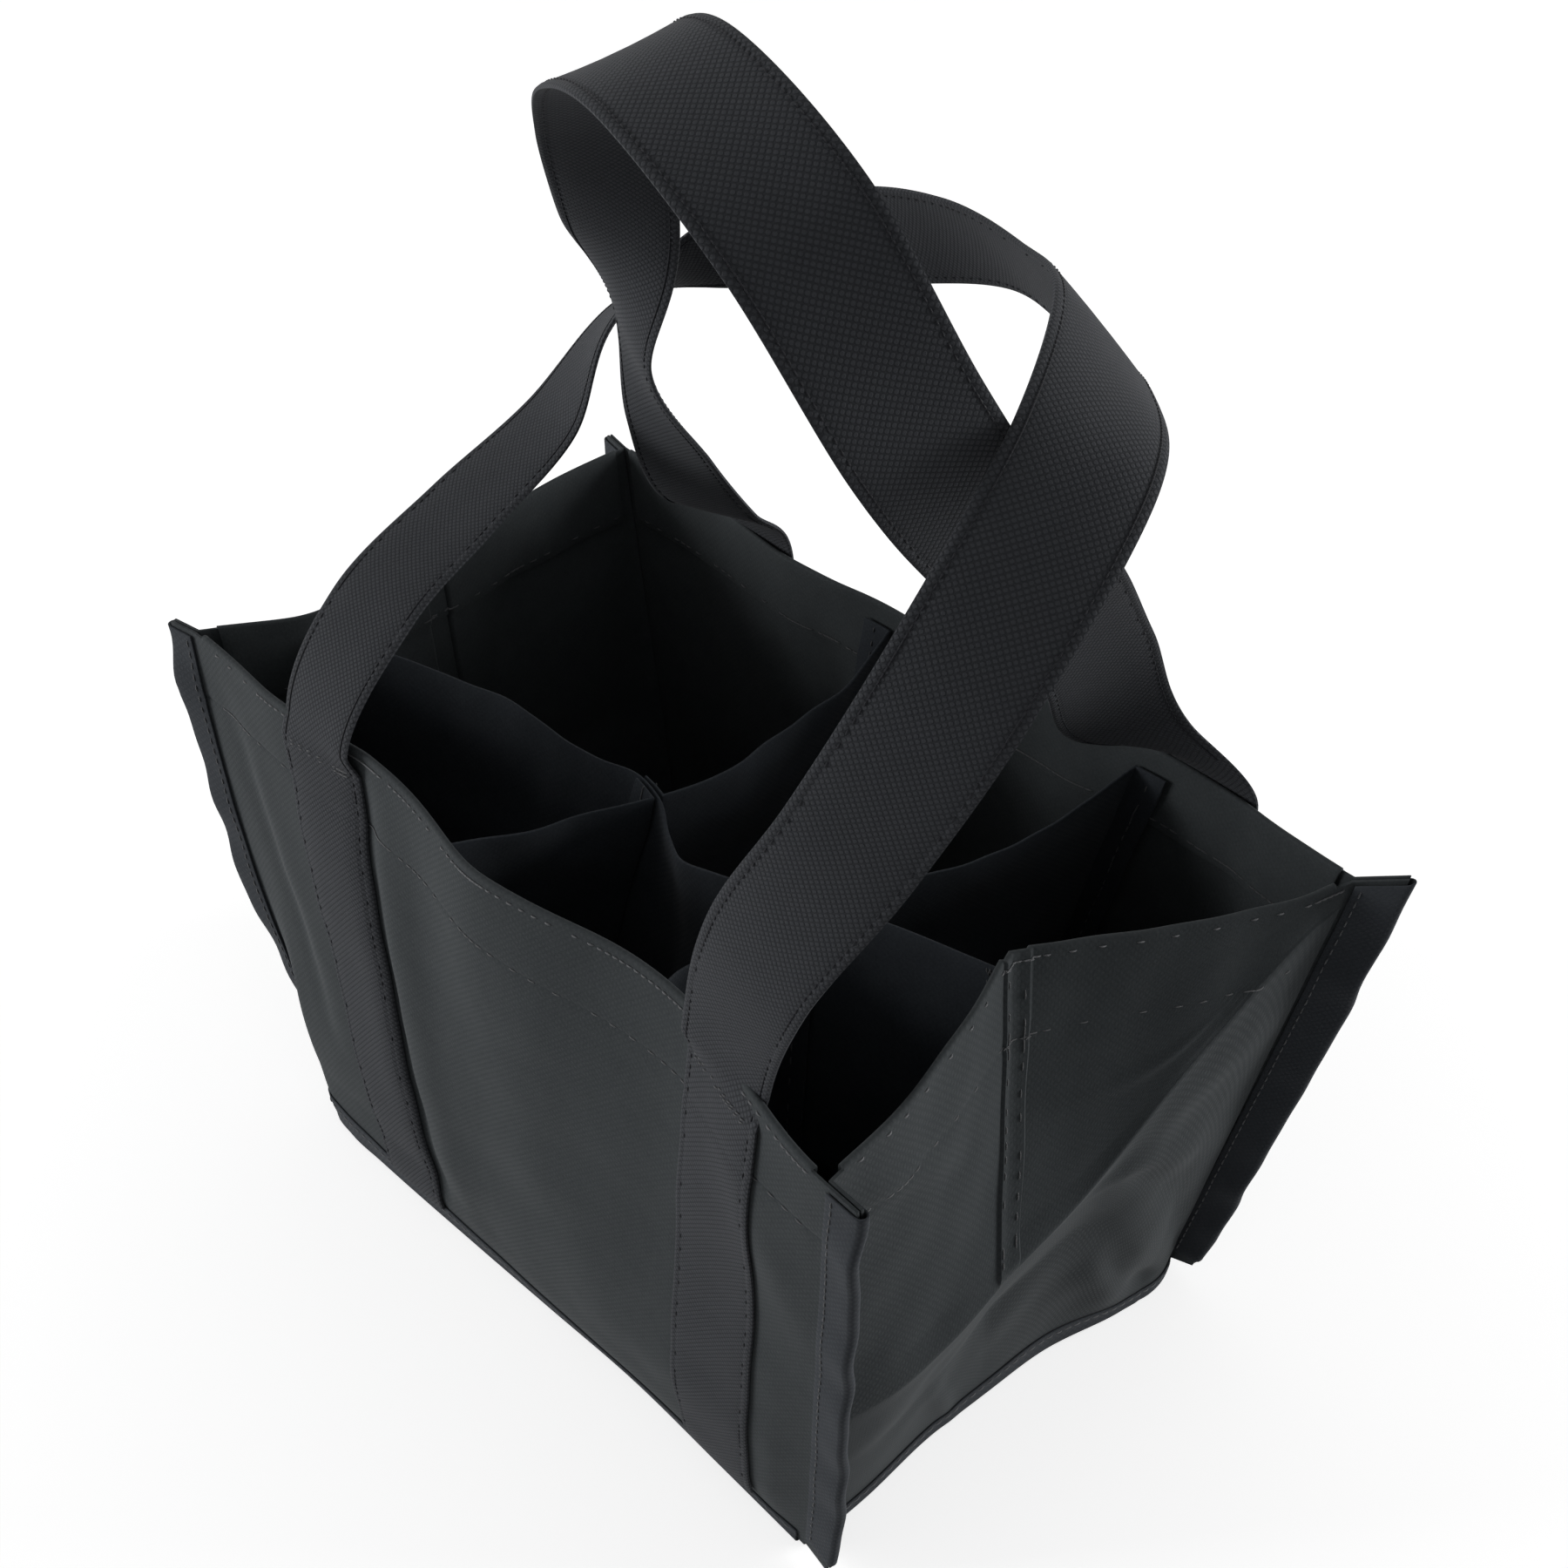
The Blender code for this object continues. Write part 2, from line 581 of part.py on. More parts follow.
def build_tote():
    """Builds every piece of the tote."""
    clear_scene()
    collection = bpy.data.collections.new("bottle_tote")
    bpy.context.scene.collection.children.link(collection)
    make = Sheets(collection, make_materials())

    front = Wall((FOOT_FRONT_LEFT, FOOT_FRONT_RIGHT), (RIM_FRONT_LEFT, RIM_FRONT_RIGHT),
                 FRONT_DRAWS, BELLY)
    right = Wall((FOOT_FRONT_RIGHT, FOOT_BACK_RIGHT), (RIM_FRONT_RIGHT, RIM_BACK_RIGHT),
                 fold=(RIGHT_FOLD, RIGHT_FOLD_SHARE, 1), inset=LAYER)
    back = Wall((FOOT_BACK_RIGHT, FOOT_BACK_LEFT), (RIM_BACK_RIGHT, RIM_BACK_LEFT),
                BACK_DRAWS, BELLY)
    left = Wall((FOOT_BACK_LEFT, FOOT_FRONT_LEFT), (RIM_BACK_LEFT, RIM_FRONT_LEFT),
                fold=(LEFT_FOLD, LEFT_FOLD_SHARE, -1), inset=LAYER)

    # Walls: each upright seam stands out along the long walls
    for name, wall in (("front_panel", front), ("back_panel", back)):
        edges = (lambda up, w=wall: w.run(up) * -1, lambda up, w=wall: w.run(up))
        make.sheet(name, wall_sheet(wall, edges), SHEET, FABRIC)
    for name, wall, first, second in (("right_gusset", right, front, back),
                                      ("left_gusset", left, back, front)):
        edges = (lambda up, w=first: w.run(up), lambda up, w=second: w.run(up) * -1)
        make.sheet(name, wall_sheet(wall, edges), SHEET, FABRIC)

    make.sheet("bottom_panel", bottom_rows(), SHEET, FABRIC)
    make.sheet("base_board", board_rows(), BOARD_THICK, BOARD)

    # Tape over the upright seams and round the foot
    for name, wall, end, side in (("binding_front_left", front, 0, -1),
                                  ("binding_front_right", front, 1, 1),
                                  ("binding_back_right", back, 0, -1),
                                  ("binding_back_left", back, 1, 1)):
        make.sheet(name, upright_binding(wall, end, side), BINDING_SHEET, BINDING)
    for name, wall in (("foot_binding_front", front), ("foot_binding_right", right),
                       ("foot_binding_back", back), ("foot_binding_left", left)):
        make.sheet(name, foot_binding(wall), BINDING_SHEET, BINDING)

    # Dividers
    divider = LongDivider(left, right)
    make.sheet("long_divider", divider.rows(), SHEET, FABRIC)
    for name, near in (("divider_tack_left", 0.0), ("divider_tack_right", 1.0)):
        make.sheet(name, divider_tack_rows(divider, near), TACK_THICK, THREAD)
    halves = (
        ("cross_divider_left_front", front, (LEFT_FOOT_SHARE, LEFT_MEET_SHARE),
         (LEFT_FOOT_SHARE, LEFT_FRONT_SHARE), -1, -1),
        ("cross_divider_left_back", back, (LEFT_FOOT_SHARE, LEFT_MEET_SHARE),
         (1 - LEFT_FOOT_SHARE, LEFT_BACK_SHARE), 1, -1),
        ("cross_divider_right_front", front, (RIGHT_FOOT_SHARE, RIGHT_MEET_SHARE),
         (RIGHT_FOOT_SHARE, RIGHT_FRONT_SHARE), -1, 1),
        ("cross_divider_right_back", back, (RIGHT_FOOT_SHARE, RIGHT_MEET_SHARE),
         (1 - RIGHT_FOOT_SHARE, RIGHT_BACK_SHARE), 1, 1),
    )
    for name, wall, meets, walls_at, side, tab_side in halves:
        rows = cross_rows(divider, wall, meets, walls_at, side, tab_side)
        make.sheet(name, rows, SHEET, FABRIC)

    # Straps: sewn legs, free handles and the tacks at the rim
    for side, wall, shares, stations in (("front", front, FRONT_LEG_SHARES, FRONT_STATION_SHARES),
                                         ("back", back, BACK_LEG_SHARES, BACK_STATION_SHARES)):
        tops = []
        for share in shares:
            rows = leg_rows(wall, share)
            tops.append(rows[-1][2])
            end = "left" if rows[-1][2].x < 0 else "right"
            make.sheet("strap_leg_" + side + "_" + end, rows, STRAP_THICK, WEBBING)
            make.sheet("strap_tack_" + side + "_" + end, tack_rows(wall, share), TACK_THICK, THREAD)
        tops.sort(key=lambda top: top.x)
        hinge = (tops[0] + tops[1]) / 2
        hinge.z = HINGE_Z
        make.sheet(side + "_handle", handle_rows(stations, tops), STRAP_THICK, WEBBING, hinge)


build_tote()
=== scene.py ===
"""Dressed scene of a six-cell bottle tote: soft walls, divided cells, bound seams, strap handles."""
import logging
import math
from dataclasses import dataclass, field
from enum import Enum

import bpy
import numpy as np
from mathutils import Matrix, Vector

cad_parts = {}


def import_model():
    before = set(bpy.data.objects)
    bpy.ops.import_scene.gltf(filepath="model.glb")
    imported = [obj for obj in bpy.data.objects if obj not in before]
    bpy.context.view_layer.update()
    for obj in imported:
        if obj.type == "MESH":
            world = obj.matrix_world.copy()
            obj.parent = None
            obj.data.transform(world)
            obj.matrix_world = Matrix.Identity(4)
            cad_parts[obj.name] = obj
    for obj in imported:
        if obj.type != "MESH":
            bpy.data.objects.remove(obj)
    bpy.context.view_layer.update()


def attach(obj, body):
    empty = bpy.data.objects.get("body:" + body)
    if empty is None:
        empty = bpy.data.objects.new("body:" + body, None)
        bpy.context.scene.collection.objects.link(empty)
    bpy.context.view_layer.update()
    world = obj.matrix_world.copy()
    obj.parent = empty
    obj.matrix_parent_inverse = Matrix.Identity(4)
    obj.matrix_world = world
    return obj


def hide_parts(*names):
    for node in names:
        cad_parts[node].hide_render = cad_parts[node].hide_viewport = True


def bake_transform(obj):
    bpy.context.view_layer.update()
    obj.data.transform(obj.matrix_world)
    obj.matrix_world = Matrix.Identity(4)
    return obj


LOG = logging.getLogger("bottle_tote")
Array = np.ndarray
Material = bpy.types.Material
Mesh = bpy.types.Mesh
Node = bpy.types.Node
Piece = bpy.types.Object
Socket = bpy.types.NodeSocket
Tree = bpy.types.NodeTree
Pair = tuple[float, float]
Triple = tuple[float, float, float]

MM = 0.001
UP = np.array([0, 0, 1.0])

SHEET = 0.7 * MM
TAPE = 0.5 * MM
STRAP_THICK = 1.3 * MM
STRAP_WIDTH = 26.7 * MM
HEIGHT = 155.0 * MM
FOOT_Z = 2.8 * MM
FOLD_RADIUS = 0.5 * MM
HEM_DEPTH = 22.0 * MM
HEM_SEAM = HEM_DEPTH - 2.0 * MM
HEM_GROOVE = 0.35 * MM
FLANGE = 9.0 * MM
BACK_RIGHT_FLANGE = 11.5 * MM
LAYER = 1.1 * MM
CLOTH_GAP = 0.15 * MM
TAPE_GAP = 0.25 * MM
STRAP_STAND = (SHEET + STRAP_THICK) / 2 + CLOTH_GAP
FOOT_TAPE_STAND = (SHEET + TAPE) / 2 + CLOTH_GAP
TAPE_STAND = (SHEET + TAPE) / 2 + TAPE_GAP
DIVIDER_STAND = 2.6 * MM
HALF_STAND = 1.5 * MM
HINGE_Z = 157.2 * MM
HANDLE_REACH = 100.0 * MM


class Body(Enum):
    """The bodies of the tote; the pieces here ride on the bag."""

    BAG = "bag"
    FRONT_HANDLE = "front_handle"
    BACK_HANDLE = "back_handle"


class Slot(Enum):
    """The record's material slots."""

    FABRIC = "fabric"
    BINDING = "binding"
    WEBBING = "webbing"
    THREAD = "thread"


class Hold(Enum):
    """How a sheet of the tote is held."""

    STRETCHED = "stretched"
    HUNG = "hung"
    FOLDED = "folded"
    LAID = "laid"


# ---- Numbers on surfaces


def unit(vectors: Array) -> Array:
    """Scale the vectors in the last axis to length one."""
    tiny = 1e-12
    return vectors / np.maximum(np.linalg.norm(vectors, axis=-1, keepdims=True), tiny)


def clamp(values: Array | float) -> Array:
    """Hold values between zero and one."""
    return np.clip(values, 0, 1)


def between(first: Array | float, last: Array | float, share: Array) -> Array:
    """Return the value at a share of the way from the first to the last."""
    return first * (1 - share) + last * share


def merged(*parts: Array | tuple[float, ...]) -> Array:
    """Join lists of shares into one in rising order."""
    return np.unique(np.concatenate(parts))


def share_up(z: Array) -> Array:
    """Return the share up a wall that lies at a height."""
    return (z - FOOT_Z) / (HEIGHT - FOOT_Z)


def millimetres(rows: tuple[tuple[float, ...], ...]) -> Array:
    """Turn rows of millimetres into an array of metres."""
    return np.array(rows, float) * MM


def spread(across: Array | float, up: Array | float) -> tuple[Array, Array]:
    """Bring shares across and shares up to one shape."""
    across, up = np.broadcast_arrays(np.asarray(across, float), np.asarray(up, float))
    return across, up


def through(shares: Array, places: Array, values: Array) -> Array:
    """Follow a smooth curve through stations that need not be evenly placed.

    Args:
        shares: Where the curve is read.
        places: Where the stations lie, in rising order.
        values: The stations' values, one row each.

    Returns:
        The curve's values at the shares.
    """
    shares, places, values = (np.asarray(part, float) for part in (shares, places, values))
    flat = values.reshape(len(places), -1)
    gaps = np.diff(places)[:, None]
    chords = np.diff(flat, axis=0) / gaps
    slopes = np.empty_like(flat)
    slopes[0], slopes[-1] = chords[0], chords[-1]
    slopes[1:-1] = (chords[:-1] * gaps[1:] + chords[1:] * gaps[:-1]) / (gaps[:-1] + gaps[1:])
    step = np.clip(np.searchsorted(places, shares, side="right") - 1, 0, len(places) - 2)
    gap = gaps[step, 0]
    t = ((shares - places[step]) / gap)[..., None]
    gap = gap[..., None]
    value = (flat[step] * (2 * t**3 - 3 * t**2 + 1) + flat[step + 1] * (3 * t**2 - 2 * t**3)
             + slopes[step] * gap * (t**3 - 2 * t**2 + t)
             + slopes[step + 1] * gap * (t**3 - t**2))
    return value.reshape(shares.shape + values.shape[1:])


def ripple(points: Array, scale: float, seed: int, waves: int = 7) -> Array:
    """Sum a few slow waves into the soft unevenness of hanging fabric.

    Args:
        points: Points in the last axis, in metres.
        scale: The typical distance between two crests, in metres.
        seed: Picks the waves, so that each piece differs and each run is the same.
        waves: How many waves are summed.

    Returns:
        A height of about -1 to 1 for each point.
    """
    slowest, fastest = 0.55, 1.6
    picks = np.random.default_rng(seed)
    ways = unit(picks.normal(size=(waves, 3)))
    phases = picks.uniform(0, 2 * math.pi, waves)
    rates = 2 * math.pi / scale * picks.uniform(slowest, fastest, waves)
    return np.sin((points @ ways.T) * rates + phases).sum(-1) / math.sqrt(waves)


def slack(points: Array, *layers: tuple[float, float, int]) -> Array:
    """Add up layers of ripple, each given by its height, its scale and its seed."""
    return sum(height * ripple(points, scale, seed) for height, scale, seed in layers)


def bump(distance: Array, width: float) -> Array:
    """Return a soft hill of height one over distances up to a width."""
    return (1 + np.cos(math.pi * clamp(np.abs(distance) / width))) / 2


def crease(across: Array, width: float) -> Array:
    """Return a sharp fold's height, one on the fold line and fading to both sides."""
    return np.exp(-np.abs(across) / width)


def run_length(points: Array) -> Array:
    """Measure how far along a line each of its points lies.

    Args:
        points: The line's points, one row each.

    Returns:
        The distance from the first point to each point.
    """
    steps = np.linalg.norm(np.diff(points, axis=0), axis=1)
    return np.concatenate([[0.0], np.cumsum(steps)])


def even(points: Array, count: int) -> Array:
    """Lay a number of points evenly along a line.

    Args:
        points: The line's points, one row each.
        count: How many points come back.

    Returns:
        Points at even distances along the line.
    """
    length = run_length(points)
    places = np.linspace(0, length[-1], count)
    return np.stack([np.interp(places, length, column) for column in points.T], -1)


# ---- Materials


class Nodes:
    """Short ways to add and join shader nodes in one tree."""

    def __init__(self, tree: Tree) -> None:
        """Keep the tree that the nodes go into."""
        self.tree = tree

    def add(self, kind: str, inputs: dict[str | int, object] | None = None,
            **settings: object) -> Node:
        """Add a node.

        Args:
            kind: The node's type name.
            inputs: Sockets or plain values for its inputs, by name or place.
            settings: Properties set on the node.

        Returns:
            The new node.
        """
        node = self.tree.nodes.new(kind)
        for key, value in settings.items():
            setattr(node, key, value)
        self.fill(node, inputs or {})
        return node

    def fill(self, node: Node, inputs: dict[str | int, object]) -> None:
        """Link each named input of a node to a socket, or set it to a plain value.

        Args:
            node: The node.
            inputs: Sockets or plain values, by the input's name or place.
        """
        for key, value in inputs.items():
            if isinstance(value, Socket):
                self.tree.links.new(value, node.inputs[key])
            else:
                node.inputs[key].default_value = value

    def maths(self, step: str, *values: Socket | float) -> Socket:
        """Add a Math node and return its output."""
        return self.add("ShaderNodeMath", dict(enumerate(values)), operation=step).outputs[0]

    def noise(self, vector: Socket, scale: Socket | float, detail: float,
              rough: float = 0.55) -> Socket:
        """Add a Noise Texture and return its factor."""
        return self.add("ShaderNodeTexNoise", {"Vector": vector, "Scale": scale, "Detail": detail,
                                               "Roughness": rough}).outputs["Fac"]

    def mix(self, share: Socket, first: object, second: object, kind: str = "RGBA") -> Socket:
        """Mix two colours, or two values, by a share and return the result."""
        return self.add("ShaderNodeMix", {"Factor": share, "A": first, "B": second},
                        data_type=kind).outputs["Result"]

    def group(self, tree: Tree, vector: Socket, **values: float) -> bpy.types.NodeOutputs:
        """Add a shared effect.

        Args:
            tree: The effect's node group.
            vector: Where the effect is read.
            values: The group's other inputs, with a low line for each space in a name.

        Returns:
            The effect's outputs.
        """
        inputs = {key.replace("_", " "): value for key, value in values.items()}
        return self.add("ShaderNodeGroup", {"Vector": vector, **inputs}, node_tree=tree).outputs

    def relief(self, height: Socket, distance: float, strength: float = 1.0) -> Socket:
        """Add a Bump node and return its normal."""
        return self.add("ShaderNodeBump", {"Height": height, "Distance": distance,
                                           "Strength": strength}).outputs["Normal"]

    def by_view(self, lighting: Socket, seen: Socket) -> Socket:
        """Mix two shaders by what looks at them.

        Args:
            lighting: The shader that lights the bag.
            seen: The shader for the camera and for reflections.

        Returns:
            The mixed shader.
        """
        path = self.add("ShaderNodeLightPath").outputs
        share = self.maths("MAXIMUM", path["Is Camera Ray"], path["Is Glossy Ray"])
        return self.add("ShaderNodeMixShader", {0: share, 1: lighting, 2: seen}).outputs[0]


class Group(Nodes):
    """A shader node group whose first input is a vector."""

    def __init__(self, name: str, inputs: dict[str, float], outputs: tuple[str, ...]) -> None:
        """Make the empty group.

        Args:
            name: The group's name.
            inputs: Float inputs with their defaults.
            outputs: Names of the float outputs.
        """
        super().__init__(bpy.data.node_groups.new(name, "ShaderNodeTree"))
        sockets = self.tree.interface
        sockets.new_socket("Vector", in_out="INPUT", socket_type="NodeSocketVector")
        for key, value in inputs.items():
            socket = sockets.new_socket(key, in_out="INPUT", socket_type="NodeSocketFloat")
            socket.default_value = value
        for key in outputs:
            sockets.new_socket(key, in_out="OUTPUT", socket_type="NodeSocketFloat")
        self.into = self.add("NodeGroupInput").outputs
        self.out = self.add("NodeGroupOutput")


class Effects:
    """The shared effects: fibre mottle, pressed squares and the twist of sewing thread."""

    def __init__(self) -> None:
        """Build each group once."""
        self.mottle = self.make_mottle()
        self.squares = self.make_squares()
        self.twist = self.make_twist()

    @staticmethod
    def make_mottle() -> Tree:
        """Build the cloudy look of pressed fibres.

        Returns:
            A group that gives a mottle and a fibre height.
        """
        group = Group("fibre_mottle", {"Fibre Scale": 1600.0, "Cloud Scale": 130.0,
                                       "Cloud Share": 0.5}, ("Mottle", "Height"))
        vector = group.into["Vector"]
        broad_scale, broad_share = 22.0, 0.35
        fine = group.noise(vector, group.into["Fibre Scale"], 3.0, 0.6)
        clouds = group.noise(vector, group.into["Cloud Scale"], 4.0, 0.65)
        broad = group.noise(vector, broad_scale, 2.0)
        cloudy = group.maths("ADD", group.maths("MULTIPLY", clouds, 1 - broad_share),
                             group.maths("MULTIPLY", broad, broad_share))
        mottle = group.mix(group.into["Cloud Share"], fine, cloudy, "FLOAT")
        group.fill(group.out, {"Mottle": mottle, "Height": fine})
        return group.tree

    @staticmethod
    def make_squares() -> Tree:
        """Build the pressed slanting grid of small square dots of non-woven goods.

        Returns:
            A group that gives the dots' height, from 0 to 1.
        """
        group = Group("pressed_squares", {"Pitch": 1.4 * MM, "Sharpness": 2.2, "Dot Share": 0.1},
                      ("Dots",))
        split = group.add("ShaderNodeSeparateXYZ", {0: group.into["Vector"]}).outputs
        levels = []
        for step in ("ADD", "SUBTRACT"):
            slanting = group.maths(step, split["X"], split["Y"])
            turns = group.maths("DIVIDE", slanting, group.into["Pitch"])
            wave = group.maths("COSINE", group.maths("MULTIPLY", turns, math.sqrt(2) * math.pi))
            levels.append(group.maths("ADD", group.maths("MULTIPLY", wave, 0.5), 0.5))
        both = group.maths("MULTIPLY", *levels)
        sharp = group.maths("MULTIPLY", group.maths("SUBTRACT", both, group.into["Dot Share"]),
                            group.into["Sharpness"])
        held = group.maths("MINIMUM", group.maths("MAXIMUM", sharp, 0.0), 1.0)
        group.fill(group.out, {"Dots": held})
        return group.tree

    @staticmethod
    def make_twist() -> Tree:
        """Build the twist of sewing thread.

        Returns:
            A group that gives the plies' height.
        """
        group = Group("thread_twist", {"Rate": 2600.0}, ("Height",))
        wave = group.add("ShaderNodeTexWave", {"Vector": group.into["Vector"],
                                               "Scale": group.into["Rate"], "Distortion": 1.5},
                         bands_direction="DIAGONAL")
        group.fill(group.out, {"Height": wave.outputs["Fac"]})
        return group.tree


def tint(colour: Triple, share: float = 1.0) -> tuple[float, ...]:
    """Return a colour, darkened or lightened by a share, with its alpha."""
    return (*(part * share for part in colour), 1)


@dataclass(frozen=True)
class Finish:
    """What every finish starts from: a named material with its nodes."""

    name: str

    def start(self) -> tuple[Material, Nodes, Node]:
        """Make an empty material.

        Returns:
            The material, the helper for its nodes and its Principled shader.
        """
        material = bpy.data.materials.new(self.name)
        material.use_nodes = True
        return material, Nodes(material.node_tree), material.node_tree.nodes["Principled BSDF"]


@dataclass(frozen=True)
class FabricFinish(Finish):
    """Non-woven fabric: dull, cloudy, with faint pressed dots, whose hollows are darkened as painted
    shade.
    """

    dark: Triple
    light: Triple
    dot_pitch: float = 1.25 * MM
    dot_depth: float = 0.02 * MM
    # Painted shade in the pressed hollows: how far they are mixed towards a darker colour, and how dark
    # that colour is as a share of the dark tone.
    hollow_painted_shade: float = 0.05
    hollow_shade_darkness: float = 0.25
    dot_gloss: float = 0.16
    dot_edge: float = 2.2
    dot_gap: float = 0.1
    raised: bool = False
    mottle_span: Pair = (0.34, 0.66)
    fibre_depth: float = 0.05 * MM
    roughness: float = 0.86
    sheen: float = 0.03
    sheen_roughness: float = 0.55
    gloss: float = 0.12

    def build(self, effects: Effects) -> Material:
        """Make the material.

        Args:
            effects: The shared node groups.

        Returns:
            The new material.
        """
        material, nodes, shader = self.start()
        mottle = nodes.group(effects.mottle, nodes.add("ShaderNodeTexCoord").outputs["Object"])
        flat = nodes.add("ShaderNodeUVMap", uv_map="cloth").outputs["UV"]
        dots = nodes.group(effects.squares, flat, Pitch=self.dot_pitch, Sharpness=self.dot_edge,
                           Dot_Share=self.dot_gap)["Dots"]
        spread = nodes.add("ShaderNodeMapRange", {
            "Value": mottle["Mottle"], "From Min": self.mottle_span[0],
            "From Max": self.mottle_span[1]}).outputs["Result"]
        cloth = nodes.mix(spread, tint(self.dark), tint(self.light))
        # Painted shade: the hollows, between raised squares or inside sunk dots, are mixed towards a
        # darker base colour.
        low = nodes.maths("SUBTRACT", 1.0, dots) if self.raised else dots
        shade = nodes.maths("MULTIPLY", low, self.hollow_painted_shade)
        depth = self.dot_depth if self.raised else -self.dot_depth
        sunk = nodes.maths("MULTIPLY", dots, depth / MM)
        fibre = nodes.maths("MULTIPLY", mottle["Height"], self.fibre_depth / MM)
        polish = nodes.maths("MULTIPLY", dots, self.dot_gloss)
        nodes.fill(shader, {
            "Base Color": nodes.mix(shade, cloth, tint(self.dark, self.hollow_shade_darkness)),
            "Roughness": nodes.maths("SUBTRACT", self.roughness, polish),
            "Normal": nodes.relief(nodes.maths("ADD", sunk, fibre), MM),
            "Sheen Weight": self.sheen,
            "Sheen Roughness": self.sheen_roughness,
            "Specular IOR Level": self.gloss})
        return material


@dataclass(frozen=True)
class ThreadFinish(Finish):
    """Sewing thread: tight, slightly shiny, two plies, with painted shade in the grooves of the twist
    and painted highlight on its crests.
    """

    colour: Triple
    sheen: float = 0.15
    gloss: float = 0.5
    roughness: float = 0.55
    # Painted shade and painted highlight: the colour's scale in the twist's grooves and on its crests.
    shades: Pair = (0.6, 1.25)
    twist_depth: float = 0.08 * MM
    twist_strength: float = 0.7

    def build(self, effects: Effects) -> Material:
        """Make the material.

        Args:
            effects: The shared node groups.

        Returns:
            The new material.
        """
        material, nodes, shader = self.start()
        place = nodes.add("ShaderNodeTexCoord").outputs["Object"]
        twist = nodes.group(effects.twist, place)["Height"]
        # Painted shade and highlight: the twist's height, which also drives the bump, darkens the
        # grooves and lightens the crests.
        dark, light = (tint(self.colour, shade) for shade in self.shades)
        nodes.fill(shader, {
            "Base Color": nodes.mix(twist, dark, light),
            "Normal": nodes.relief(twist, self.twist_depth, self.twist_strength),
            "Roughness": self.roughness,
            "Sheen Weight": self.sheen,
            "Specular IOR Level": self.gloss})
        return material


@dataclass(frozen=True)
class BoardFinish(Finish):
    """The stiffener board: pressed grey-black card with a fine grain."""

    colour: Triple
    shades: Pair = (0.7, 1.3)
    grain_scale: float = 700.0
    grain_depth: float = 0.1 * MM
    roughness: float = 0.7

    def build(self, effects: Effects) -> Material:
        """Make the material.

        Args:
            effects: The shared node groups.

        Returns:
            The new material.
        """
        material, nodes, shader = self.start()
        place = nodes.add("ShaderNodeTexCoord").outputs["Object"]
        grain = nodes.group(effects.mottle, place, Fibre_Scale=self.grain_scale)
        dark, light = (tint(self.colour, shade) for shade in self.shades)
        nodes.fill(shader, {
            "Base Color": nodes.mix(grain["Mottle"], dark, light),
            "Normal": nodes.relief(grain["Height"], self.grain_depth),
            "Roughness": self.roughness})
        return material


@dataclass
class Finishes:
    """Every finish of the tote, built once."""

    effects: Effects
    fabric: Material = field(init=False)
    interior_shade_fabric: Material = field(init=False)
    tape: Material = field(init=False)
    webbing: Material = field(init=False)
    thread: Material = field(init=False)
    pale_thread: Material = field(init=False)
    strap_thread: Material = field(init=False)
    board: Material = field(init=False)

    def __post_init__(self) -> None:
        """Build the materials from the shared effects."""
        self.fabric = FabricFinish("panel_fabric", (0.034, 0.039, 0.042),
                                   (0.049, 0.055, 0.058)).build(self.effects)
        # The dividers take a darker, bluer copy of the panel fabric: painted shade for the cells inside
        # the bag.
        self.interior_shade_fabric = FabricFinish("divider_fabric_painted_shade", (0.018, 0.021, 0.026),
                                   (0.029, 0.034, 0.040)).build(self.effects)
        self.tape = FabricFinish("seam_tape", (0.033, 0.037, 0.043),
                                 (0.046, 0.051, 0.058)).build(self.effects)
        # The webbing's grooves between its raised squares take a strong painted shade.
        self.webbing = FabricFinish("strap_webbing", (0.043, 0.046, 0.052), (0.057, 0.060, 0.067),
                                    dot_pitch=1.05 * MM, dot_depth=0.13 * MM, hollow_painted_shade=0.36,
                                    dot_edge=4.0, dot_gap=0.06, raised=True).build(self.effects)
        self.thread = ThreadFinish("sewing_thread", (0.040, 0.042, 0.046)).build(self.effects)
        self.pale_thread = ThreadFinish("pale_thread", (0.085, 0.088, 0.095)).build(self.effects)
        self.strap_thread = ThreadFinish("strap_thread", (0.019, 0.020, 0.024), sheen=0.0,
                                         gloss=0.15).build(self.effects)
        self.board = BoardFinish("stiffener_board", (0.022, 0.022, 0.024)).build(self.effects)


# ---- Meshes


def corners(grid: Array) -> list[Array]:
    """Return what lies at the four corners of each cell of a grid, in order round the cell."""
    return [grid[:-1, :-1], grid[:-1, 1:], grid[1:, 1:], grid[1:, :-1]]


def ring_faces(rows: int, count: int) -> tuple[Array, Array]:
    """Number the points of rings that lie one after another, and join them by faces.

    Args:
        rows: How many rings there are.
        count: How many points each ring has.

    Returns:
        The points' numbers, one row for each ring, and the four-sided faces.
    """
    index = np.arange(rows * count).reshape(rows, count)
    wrapped = np.concatenate([index, index[:, :1]], 1)
    return index, np.stack(corners(wrapped), -1).reshape(-1, 4)


def make_mesh(name: str, points: Array, faces: list, flat: Array | None = None) -> Mesh:
    """Build a mesh, with its cloth UV map where one is given.

    Args:
        name: The mesh's name.
        points: Its points, one row each.
        faces: The numbers of each face's points.
        flat: The place on the flat cloth of each face's corners, in their order.

    Returns:
        The new mesh.
    """
    mesh = bpy.data.meshes.new(name)
    mesh.from_pydata(points.tolist(), [], faces)
    if flat is not None:
        layer = mesh.uv_layers.new(name="cloth")
        layer.data.foreach_set("uv", flat.astype(np.float32).ravel())
    mesh.update()
    return mesh


